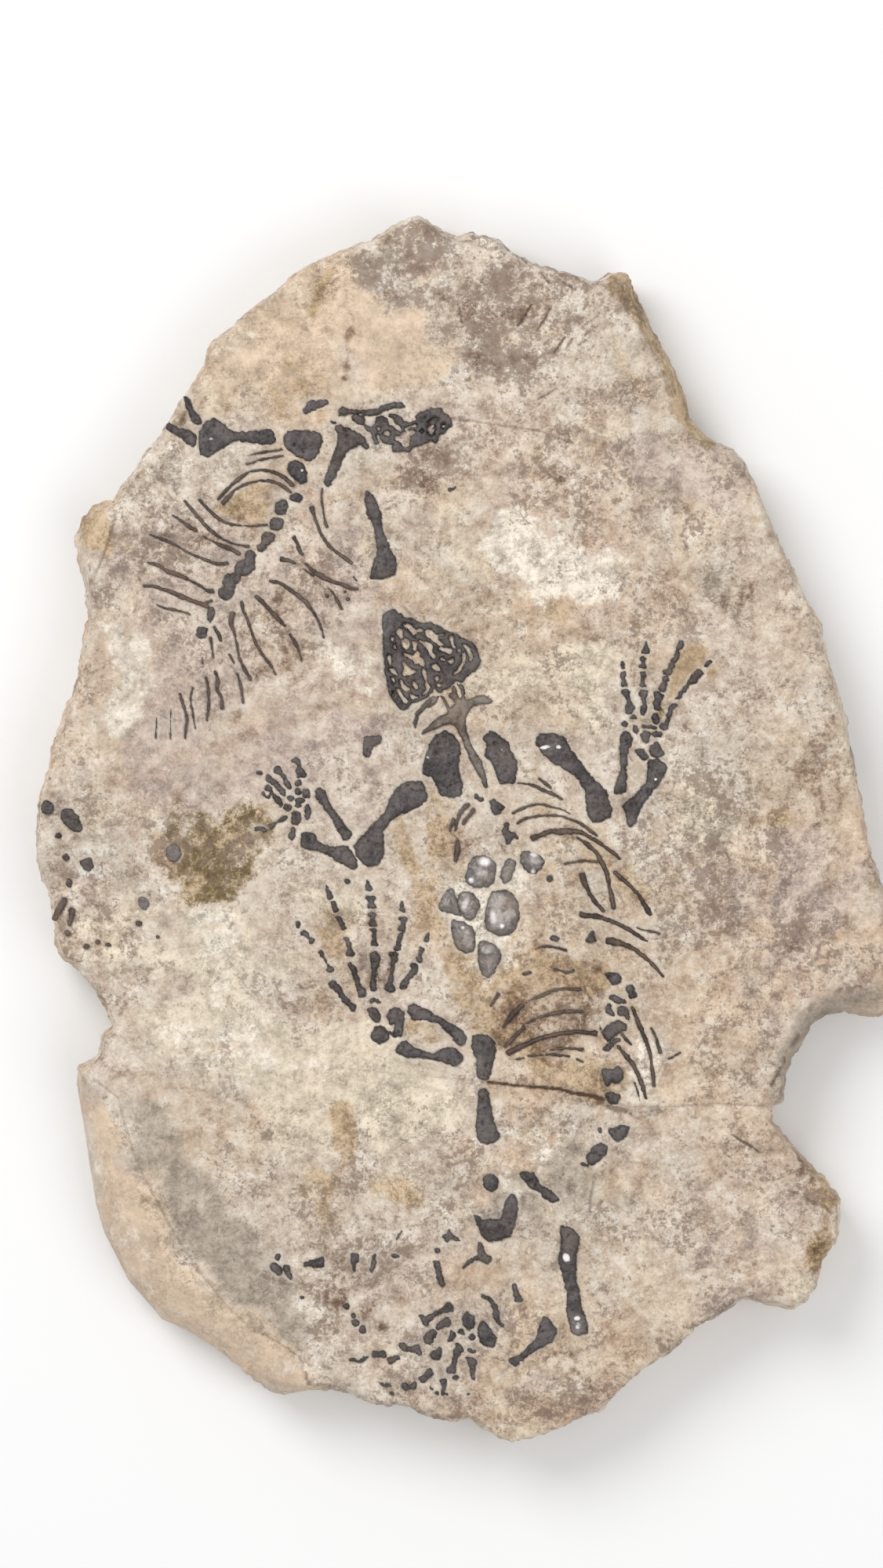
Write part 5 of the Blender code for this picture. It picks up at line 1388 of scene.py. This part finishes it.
class FossilLook(bpy.types.PropertyGroup):
    """Colours of the stone, the bones and the pebbles."""
    cream_stone: FloatVectorProperty(
        name="Cream grains", description="Lightest grains of the mudstone",
        default=(0.871, 0.799, 0.701), **COLOUR
    )
    pale_stone: FloatVectorProperty(
        name="Pale stone", description="Lighter colour of the mudstone",
        default=(0.672, 0.565, 0.456), **COLOUR
    )
    brown_stone: FloatVectorProperty(
        name="Brown stone", description="Darker colour of the mudstone",
        default=(0.497, 0.392, 0.305), **COLOUR
    )
    dark_stone: FloatVectorProperty(
        name="Dark stone", description="Darkest patches of the mudstone",
        default=(0.246, 0.181, 0.136), **COLOUR
    )
    chalky_stone: FloatVectorProperty(
        name="Chalky stone", description="Bleached or filled stone", default=(0.807, 0.738, 0.631), **COLOUR
    )
    straw_stone: FloatVectorProperty(
        name="Straw stone", description="Pale yellowish zones of the mudstone",
        default=(0.687, 0.591, 0.456), **COLOUR
    )
    peach_stone: FloatVectorProperty(
        name="Peach stone", description="Smooth pinkish-tan skin of the nodule",
        default=(0.65, 0.498, 0.36), **COLOUR
    )
    mauve_stone: FloatVectorProperty(
        name="Mauve stone", description="Greyish purple-brown zones of the mudstone",
        default=(0.479, 0.381, 0.328), **COLOUR
    )
    # Also the colour of the painted shade on the spur's chamfer and along the right-hand edge.
    slate_and_edge_shade_colour: FloatVectorProperty(
        name="Slate zone", description="Blue-grey zones of the mudstone",
        default=(0.342, 0.291, 0.235), **COLOUR
    )
    ochre_stain: FloatVectorProperty(
        name="Ochre stain", description="Yellow-brown iron stain", default=(0.46, 0.322, 0.184), **COLOUR
    )
    rust_stain: FloatVectorProperty(
        name="Rust stain", description="Red-brown stain", default=(0.456, 0.319, 0.242), **COLOUR
    )
    umber_stain: FloatVectorProperty(
        name="Umber stain", description="Dark brown stain", default=(0.192, 0.108, 0.058), **COLOUR
    )
    olive_crust: FloatVectorProperty(
        name="Olive crust", description="Olive-brown crust", default=(0.225, 0.155, 0.062), **COLOUR
    )
    speck: FloatVectorProperty(
        name="Specks", description="Gaps and dark specks in the mudstone",
        default=(0.216, 0.15, 0.112), **COLOUR
    )
    crack: FloatVectorProperty(
        name="Cracks", description="Inside of the cracks", default=(0.089, 0.051, 0.032), **COLOUR
    )
    bone_dark: FloatVectorProperty(
        name="Bone", description="Main colour of the fossil bone", default=(0.042, 0.034, 0.034), **COLOUR
    )
    bone_light: FloatVectorProperty(
        name="Bone patches", description="Lighter patches of the fossil bone",
        default=(0.132, 0.113, 0.108), **COLOUR
    )
    bone_brown: FloatVectorProperty(
        name="Bone cast", description="Brown cast of some patches of the bone",
        default=(1.0, 0.9, 0.8), **COLOUR
    )
    girdle_dark: FloatVectorProperty(
        name="Girdle", description="Darker colour of the olive-grey shoulder girdle",
        default=(0.1, 0.078, 0.058), **COLOUR
    )
    girdle_light: FloatVectorProperty(
        name="Girdle patches", description="Lighter patches of the shoulder girdle",
        default=(0.26, 0.223, 0.195), **COLOUR
    )
    rib_dark: FloatVectorProperty(
        name="Ribs", description="Main colour of the thin bones", default=(0.048, 0.027, 0.019), **COLOUR
    )
    rib_light: FloatVectorProperty(
        name="Rib patches", description="Lighter patches of the thin bones",
        default=(0.15, 0.1, 0.072), **COLOUR
    )
    bone_dust: FloatVectorProperty(
        name="Dust", description="Stone dust in the pores of the bone",
        default=(0.305, 0.262, 0.238), **COLOUR
    )
    # Colour of the painted shade at the bones' rims, where they curve down into the stone.
    bone_rim_shade: FloatVectorProperty(
        name="Bone edge", description="Worn edges of the bones", default=(0.025, 0.016, 0.014), **COLOUR
    )
    # Dark part of a pebble. Also used as the painted shade at its rim.
    pebble_dark_and_rim_shade: FloatVectorProperty(
        name="Pebble", description="Dark part of a stomach pebble", default=(0.1, 0.088, 0.083), **COLOUR
    )
    pebble_light: FloatVectorProperty(
        name="Pebble veins", description="Pale part of a stomach pebble",
        default=(0.42, 0.365, 0.325), **COLOUR
    )
    pebble_pale: FloatVectorProperty(
        name="Pebble core", description="Palest part of a stomach pebble",
        default=(0.56, 0.5, 0.455), **COLOUR
    )
    pebble_brown: FloatVectorProperty(
        name="Pebble cast", description="Brown cast of a stomach pebble", default=(0.86, 0.72, 0.6), **COLOUR
    )
    # Colour of the white glints painted as highlights on bones and pebbles.
    painted_highlight: FloatVectorProperty(
        name="Glint", description="White glints on bones and pebbles", default=(0.91, 0.88, 0.87), **COLOUR
    )
    warm_cast: FloatVectorProperty(
        name="Warm cast", description="Tint of the warm patches of the mudstone",
        default=(1.0, 0.9, 0.76), **COLOUR
    )
    blush_cast: FloatVectorProperty(
        name="Pink cast", description="Tint of the pinkish patches of the mudstone",
        default=(1.0, 0.91, 0.86), **COLOUR
    )
    cool_cast: FloatVectorProperty(
        name="Cool cast", description="Tint of the grey patches of the mudstone",
        default=(0.87, 0.93, 0.98), **COLOUR
    )


class FossilSizes(bpy.types.PropertyGroup):
    """Sizes of the slab's mesh, its relief and the bones."""
    grid: FloatProperty(
        name="Stone grid", description="Spacing of points on the open face", default=0.0016, min=0.0008,
        unit="LENGTH",
    )
    fine_grid: FloatProperty(
        name="Fine grid", description="Spacing of points beside bones", default=0.0005, min=0.0003,
        unit="LENGTH",
    )
    fine_band: FloatProperty(
        name="Fine band", description="Width of the fine band beside bones", default=0.00107, unit="LENGTH",
    )
    edge_grid: FloatProperty(
        name="Edge grid", description="Spacing of points along the slab's edge", default=0.00105, min=0.0005,
        unit="LENGTH",
    )
    side_levels: IntProperty(
        name="Side levels", description="Rows of faces up the slab's side", default=14, min=5,
    )
    side_relief: FloatProperty(
        name="Side relief", description="Depth of the broken side's relief", default=0.002, unit="LENGTH",
    )
    bone_voxel: FloatProperty(
        name="Bone detail", description="Size of the facets of a bone", default=0.00025, min=0.00015,
        unit="LENGTH",
    )
    skull_voxel: FloatProperty(
        name="Skull detail", description="Size of the facets of the skulls", default=0.0002, min=0.00015,
        unit="LENGTH",
    )
    bone_relief: FloatProperty(
        name="Bone relief", description="Unevenness of the bones", default=0.00042, unit="LENGTH",
    )
    bone_rise: FloatProperty(
        name="Bone height", description="Height of a large bone over the stone", default=0.00095,
        unit="LENGTH",
    )
    pebble_rise: FloatProperty(
        name="Pebble height", description="Height of a stomach pebble over the stone", default=0.0012,
        unit="LENGTH",
    )
    rib_trim: FloatProperty(
        name="Rib trim", description="How much narrower the ribs are than their solids, on each side",
        default=0.00005, min=0, unit="LENGTH",
    )
    rib_thickness: FloatProperty(
        name="Thin rib thickness", description="Thickness of the thin ribs over their drawn width",
        default=0.82, min=0.3, max=1.5, subtype="FACTOR",
    )
    small_rise: FloatProperty(
        name="Small bone height", description="Height of a small bone over the stone", default=0.0006,
        unit="LENGTH",
    )


class FOSSIL_OT_bones(bpy.types.Operator):
    """Large bones: fine, uneven bodies in place of their plain solids"""
    bl_idname = "fossil.bones"
    bl_label = "Large bones"

    def execute(self, context):
        sizes = context.scene.fossil_sizes
        others = ("matrix_slab", "skull", SECOND_HEAD, SECOND_SPINE, *PEBBLES)
        for name in sorted(frame["nodes"]):
            if name in others:
                continue
            is_rib = name in RIBS
            outline = rounded(plan(REDRAWN[name]) if name in REDRAWN else node_outline(name))
            outline = shrunk(outline, sizes.rib_trim if is_rib else 0)
            piece = make_body(name + "_bone", (), sizes.bone_rise, [outline])
            relief = sizes.bone_relief * (0.6 if is_rib else 1)
            wear(piece, sizes.bone_voxel, relief, steps=2, depth=0.0008, drop=0.00055, reach=0.0008)
            finish = "olive_bone" if name in REDRAWN else "brown_rib" if is_rib else "dark_bone"
            settle(piece, material(finish), "rib_bone" if is_rib else "fossil_bone", [name])
        return {"FINISHED"}


class FOSSIL_OT_skulls(bpy.types.Operator):
    """Both skulls: a net of dark walls and ridges over a floor of sediment"""
    bl_idname = "fossil.skulls"
    bl_label = "Skulls"

    def execute(self, context):
        sizes = context.scene.fossil_sizes
        head = self.carved("skull_ridges", SKULL_OUTLINE, SKULL_PITS, sizes.bone_rise)
        second = self.carved("second_skull_ridges", SECOND_SKULL_OUTLINE, SECOND_SKULL_PITS, sizes.bone_rise)
        for piece, node in ((head, "skull"), (second, SECOND_HEAD)):
            relief = sizes.bone_relief * 0.7
            wear(piece, sizes.skull_voxel, relief, steps=2, depth=0.0006, drop=0.0006, reach=0.0004)
            settle(piece, material("dark_bone"), "fossil_bone", [node])
        return {"FINISHED"}

    def carved(self, name, outline, pits, rise):
        """A block over the skull's outline with its pits cut through."""
        head = make_body(name, (outline,), rise)
        wide = [shrunk(rounded(plan(pit), rounds=1, keep=0.85), -PIT_WIDENING) for pit in pits]
        cutter = make_body("pits", (), rise * 2, wide)
        carve = head.modifiers.new("pits", "BOOLEAN")
        carve.operation = "DIFFERENCE"
        carve.object = cutter
        carve.use_self = True
        apply_modifiers(head)
        bpy.data.objects.remove(cutter)
        return head


class FOSSIL_OT_small_bones(bpy.types.Operator):
    """Hands, toes and the scattered small bones"""
    bl_idname = "fossil.small_bones"
    bl_label = "Small bones"

    def execute(self, context):
        sizes = context.scene.fossil_sizes
        voxel, relief = sizes.bone_voxel, sizes.bone_relief
        for name, shapes in SMALL_BONES.items():
            piece = make_body(name, shapes, sizes.small_rise)
            wear(piece, voxel, relief, steps=2, depth=0.0006, drop=0.0003, reach=0.0004)
            settle(piece, material("dark_bone"), "fossil_bone")
        blocks = [shrunk(outline_of(shape), VERTEBRA_GAP) for shape in SECOND_VERTEBRAE]
        spine = make_body("second_vertebrae", (), sizes.small_rise, blocks)
        wear(spine, voxel, relief, steps=2, depth=0.0006, drop=0.0003, reach=0.0006)
        settle(spine, material("dark_bone"), "fossil_bone", [SECOND_SPINE])
        return {"FINISHED"}


class FOSSIL_OT_ribs(bpy.types.Operator):
    """Thin ribs, as tapering rods half sunk in the stone"""
    bl_idname = "fossil.ribs"
    bl_label = "Thin ribs"

    def execute(self, context):
        sizes = context.scene.fossil_sizes
        for name, shapes in THIN_RIBS.items():
            piece = make_body(name, shapes, sizes.small_rise, thickness=sizes.rib_thickness)
            relief = sizes.bone_relief * 0.45
            wear(piece, sizes.bone_voxel, relief, steps=1, depth=0.0005, drop=0.0, reach=0.0004)
            settle(piece, material("brown_rib"), "rib_bone")
        return {"FINISHED"}


class FOSSIL_OT_pebbles(bpy.types.Operator):
    """Stomach pebbles: smooth domed stones"""
    bl_idname = "fossil.pebbles"
    bl_label = "Stomach pebbles"

    def execute(self, context):
        sizes = context.scene.fossil_sizes
        for name in (*PEBBLES, *EXTRA_PEBBLES):
            is_extra = name in EXTRA_PEBBLES
            outline = plan(EXTRA_PEBBLES[name]) if is_extra else node_outline(name)
            outline = rounded(outline, rounds=3, keep=0.78)
            piece = make_body(name + "_stone", (), sizes.pebble_rise, [outline])
            relief = sizes.bone_relief
            wear(piece, sizes.bone_voxel, relief, steps=6, depth=0.0008, drop=0.0011, reach=0.0016)
            settle(piece, material("polished_pebble"), "pebble", () if is_extra else [name])
        return {"FINISHED"}


class FOSSIL_OT_slab(bpy.types.Operator):
    """The stone slab: open face, broken side and flat underside, with its stains painted in"""
    bl_idname = "fossil.slab"
    bl_label = "Stone slab"

    def execute(self, context):
        sizes = context.scene.fossil_sizes
        tree = bone_tree()
        rings = resample(slab_rings(), sizes.edge_grid, sizes.side_levels)
        edge = rings[-1][:, :2]
        inner = slab_points(edge, sizes, tree)
        count = len(edge)
        corners = [Vector(p) for p in np.vstack([edge, inner])]
        ring_edges = [(i, (i + 1) % count) for i in range(count)]
        flat, _, faces, _, _, _ = geometry.delaunay_2d_cdt(corners, ring_edges, [], 1, 1e-7)
        top = np.array([(p.x, p.y, FACE) for p in flat])
        if len(flat) != len(corners):
            raise RuntimeError(f"the face has {len(flat)} points, not {len(corners)}")
        points = [top]
        start = len(top)
        above = list(range(count))
        faces = [tuple(face) for face in faces]
        underside = [rings[0] * (scale, scale, 1) for scale in UNDERSIDE_SCALES]
        for ring in (*rings[-2::-1], *underside):
            below = list(range(start, start + count))
            faces.extend(
                (below[i], below[(i + 1) % count], above[(i + 1) % count], above[i]) for i in range(count)
            )
            points.append(ring)
            start += count
            above = below
        points.append(np.zeros((1, 3)))
        faces.extend((start, above[(i + 1) % count], above[i]) for i in range(count))
        points = np.vstack(points)
        mesh = bpy.data.meshes.new("stone_slab")
        mesh.from_pydata(points.tolist(), [], faces)
        mesh.update()
        slab = new_object("stone_slab", mesh)
        self.weather(slab, len(top), count, sizes, tree)
        settle(slab, material("mudstone"), "stone", ["matrix_slab"])
        return {"FINISHED"}

    def weather(self, slab, top_count, edge_count, sizes, tree):
        """Gives the plain slab its relief and paints its layers."""
        halo_width, groove_width, calm_width, rim_width = 0.0011, 0.0006, 0.003, 0.003
        grain_relief, lump_relief, swell_relief, relief_limits = 0.00016, 0.00018, 0.0004, (-0.003, 0.0009)
        groove_depth, crack_drop, buried_depth, rim_drop = 0.00022, 0.0006, 0.0003, 0.0008
        foot, side_low, side_high = 0.0002, 0.0003, FACE + 0.0004
        hollow_reach, hollow_depth = 0.1, 0.0012
        mesh = slab.data
        points = read_points(mesh)
        normals = np.empty(len(points) * 3)
        mesh.vertices.foreach_get("normal", normals)
        normals = normals.reshape(-1, 3)
        flat = points[:, :2]
        on_top = np.arange(len(points)) < top_count
        warp = np.stack([fractal(points, scale=55, octaves=4, offset=offset) for offset in (3.0, 9.0)], 1)
        layers = {
            name: paint(flat, blobs, warp)
            for name, blobs in (
                ("peach", PEACH), ("straw", STRAW), ("chalk", CHALK), ("mauve", MAUVE), ("slate_and_edge_shade", SLATE_AND_EDGE_SHADE),
                ("ochre", OCHRE), ("umber", UMBER), ("olive", OLIVE), ("rust", RUST), ("skin", SKIN),
                ("crumb", CRUMB),
            )
        }
        corner = (*plan(CORTEX_CORNER), FACE)
        across, along, down = np.clip((corner - points) / CORTEX_FADE, 0, 1).T
        cortex = down * (across * along)
        layers["skin"] = np.maximum(layers["skin"], cortex)
        layers["crumb"] = np.maximum(layers["crumb"], 0.3) * (1 - layers["skin"])
        gap = np.full(len(points), BONE_REACH)
        under = np.zeros(len(points), bool)
        gap[on_top], under[on_top] = bone_gap(tree, flat[on_top])
        uneven = np.clip(0.6 + 0.8 * fractal(points, scale=90, octaves=3, offset=12.0), 0.1, 1)
        layers["halo"] = np.where(on_top, np.exp(-(gap / halo_width) ** 2) * uneven, 0)
        layers["crack"] = np.zeros(len(points))
        layers["crack"][on_top] = crack_depth(flat[on_top])
        rough = fractal(points, scale=260, octaves=5)
        lumps = fractal(points, scale=60, octaves=4, offset=5.0)
        swell = fractal(points, scale=18, octaves=2, offset=8.0)
        away = np.clip(gap / calm_width, 0, 1)
        relief = grain_relief * rough * (0.25 + 1.6 * layers["crumb"]) + lump_relief * lumps
        relief += swell_relief * swell * away
        relief -= groove_depth * np.exp(-(gap / groove_width) ** 2)
        relief -= crack_drop * layers["crack"]
        relief = np.clip(relief, *relief_limits)
        relief[on_top & under] -= buried_depth
        edge_points = points[:edge_count, :2]
        rim = np.zeros(len(points))
        rim[on_top] = np.exp(-edge_distance(flat[on_top], edge_points) / rim_width)
        points[on_top, 2] += relief[on_top] - rim_drop * rim[on_top] * (1 + 0.6 * lumps[on_top])
        side = ~on_top & (points[:, 2] > foot)
        outward = normals.copy()
        outward[:, 2] *= 0.4
        ragged = side | (np.arange(len(points)) < edge_count)
        chips = fractal(points[ragged] * (1, 1, 1.6), scale=110, octaves=6, offset=2.0)
        chips = np.clip(0.5 + 0.5 * chips, 0, 1)
        nibbles = np.clip(fractal(points[ragged] * (1, 1, 0.5), scale=420, octaves=3, offset=6.0), -1, 1)
        depth = sizes.side_relief * (chips - 0.6 + 0.35 * nibbles) * (1 - 0.85 * cortex[ragged])
        points[ragged] -= outward[ragged] * depth[:, None]
        points[:, :2] = np.clip(points[:, :2], CAD_LOW[:2], CAD_HIGH[:2])
        points[side, 2] = np.clip(points[side, 2], side_low, side_high)
        below = ~on_top & ~side
        hollow = np.clip(0.3 + fractal(points[below], scale=40, octaves=4, offset=4.0), 0, 1)
        inset = np.clip(np.hypot(*(plan(PLAN_MIDDLE) - flat[below]).T) / hollow_reach, 0, 1)
        points[below, 2] += hollow_depth * hollow * (1 - 0.5 * inset)
        write_points(mesh, points)
        for name, values in layers.items():
            write_layer(mesh, name, values)


class FOSSIL_OT_stage(bpy.types.Operator):
    """Pale floor, soft studio light and a camera that looks straight down"""
    bl_idname = "fossil.stage"
    bl_label = "Stage"

    def execute(self, context):
        deselect()
        bpy.ops.mesh.primitive_plane_add(size=6, location=(0, 0, 0))
        floor = context.object
        floor.name = "floor"
        paint_floor, _, shader = new_material("floor_paint", 0.9)
        shader.inputs["Base Color"].default_value = (0.92, 0.92, 0.92, 1)
        floor.data.materials.append(paint_floor)
        floor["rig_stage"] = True
        world = bpy.data.worlds.new("studio")
        context.scene.world = world
        world.use_nodes = True
        glow = world.node_tree.nodes["Background"].inputs
        glow["Color"].default_value = (1, 1, 1, 1)
        glow["Strength"].default_value = 0.56
        self.add_lamp("key_light", (-0.75, 0.8, 1.2), size=1.0, power=14.0)
        self.add_lamp("fill_light", (0.9, -0.6, 1.4), size=1.4, power=8.0)
        camera_data = bpy.data.cameras.new("camera")
        camera = new_object("camera", camera_data)
        camera.location = (*plan(VIEW_CENTRE), FACE + CAMERA_DISTANCE)
        camera_data.sensor_width = 36
        camera_data.lens = camera_data.sensor_width * CAMERA_DISTANCE / (VIEW_HEIGHT * PLAN_STEP)
        context.scene.camera = camera
        context.scene.view_settings.view_transform = "Standard"
        deselect()
        return {"FINISHED"}

    def add_lamp(self, name, place, size, power):
        lamp_data = bpy.data.lights.new(name, "AREA")
        lamp_data.shape = "DISK"
        lamp_data.size = size
        lamp_data.energy = power
        lamp = new_object(name, lamp_data)
        lamp.location = place
        lamp.rotation_mode = "QUATERNION"
        lamp.rotation_quaternion = (-Vector(place)).to_track_quat("-Z", "Y")


class FOSSIL_PT_panel(bpy.types.Panel):
    """Lists the slab's operators in the sidebar"""
    bl_label = "Fossil Slab"
    bl_idname = "FOSSIL_PT_panel"
    bl_space_type = "VIEW_3D"
    bl_region_type = "UI"
    bl_category = "Fossil"

    def draw(self, context):
        for operator in OPERATORS:
            self.layout.operator(operator.bl_idname)
        for group in (context.scene.fossil_sizes, context.scene.fossil_look):
            box = self.layout.box()
            for name in group.bl_rna.properties.keys()[2:]:
                box.prop(group, name)


OPERATORS = (
    FOSSIL_OT_bones, FOSSIL_OT_skulls, FOSSIL_OT_small_bones, FOSSIL_OT_ribs, FOSSIL_OT_pebbles,
    FOSSIL_OT_slab, FOSSIL_OT_stage,
)
CLASSES = (FossilLook, FossilSizes, *OPERATORS, FOSSIL_PT_panel)


def register():
    for item in CLASSES:
        bpy.utils.register_class(item)
    bpy.types.Scene.fossil_look = PointerProperty(type=FossilLook)
    bpy.types.Scene.fossil_sizes = PointerProperty(type=FossilSizes)


def unregister():
    del bpy.types.Scene.fossil_sizes
    del bpy.types.Scene.fossil_look
    for item in reversed(CLASSES):
        bpy.utils.unregister_class(item)


def main():
    register()
    bpy.ops.fossil.bones()
    bpy.ops.fossil.skulls()
    bpy.ops.fossil.small_bones()
    bpy.ops.fossil.ribs()
    bpy.ops.fossil.pebbles()
    bpy.ops.fossil.slab()
    bpy.ops.fossil.stage()


if __name__ == "__main__":
    main()
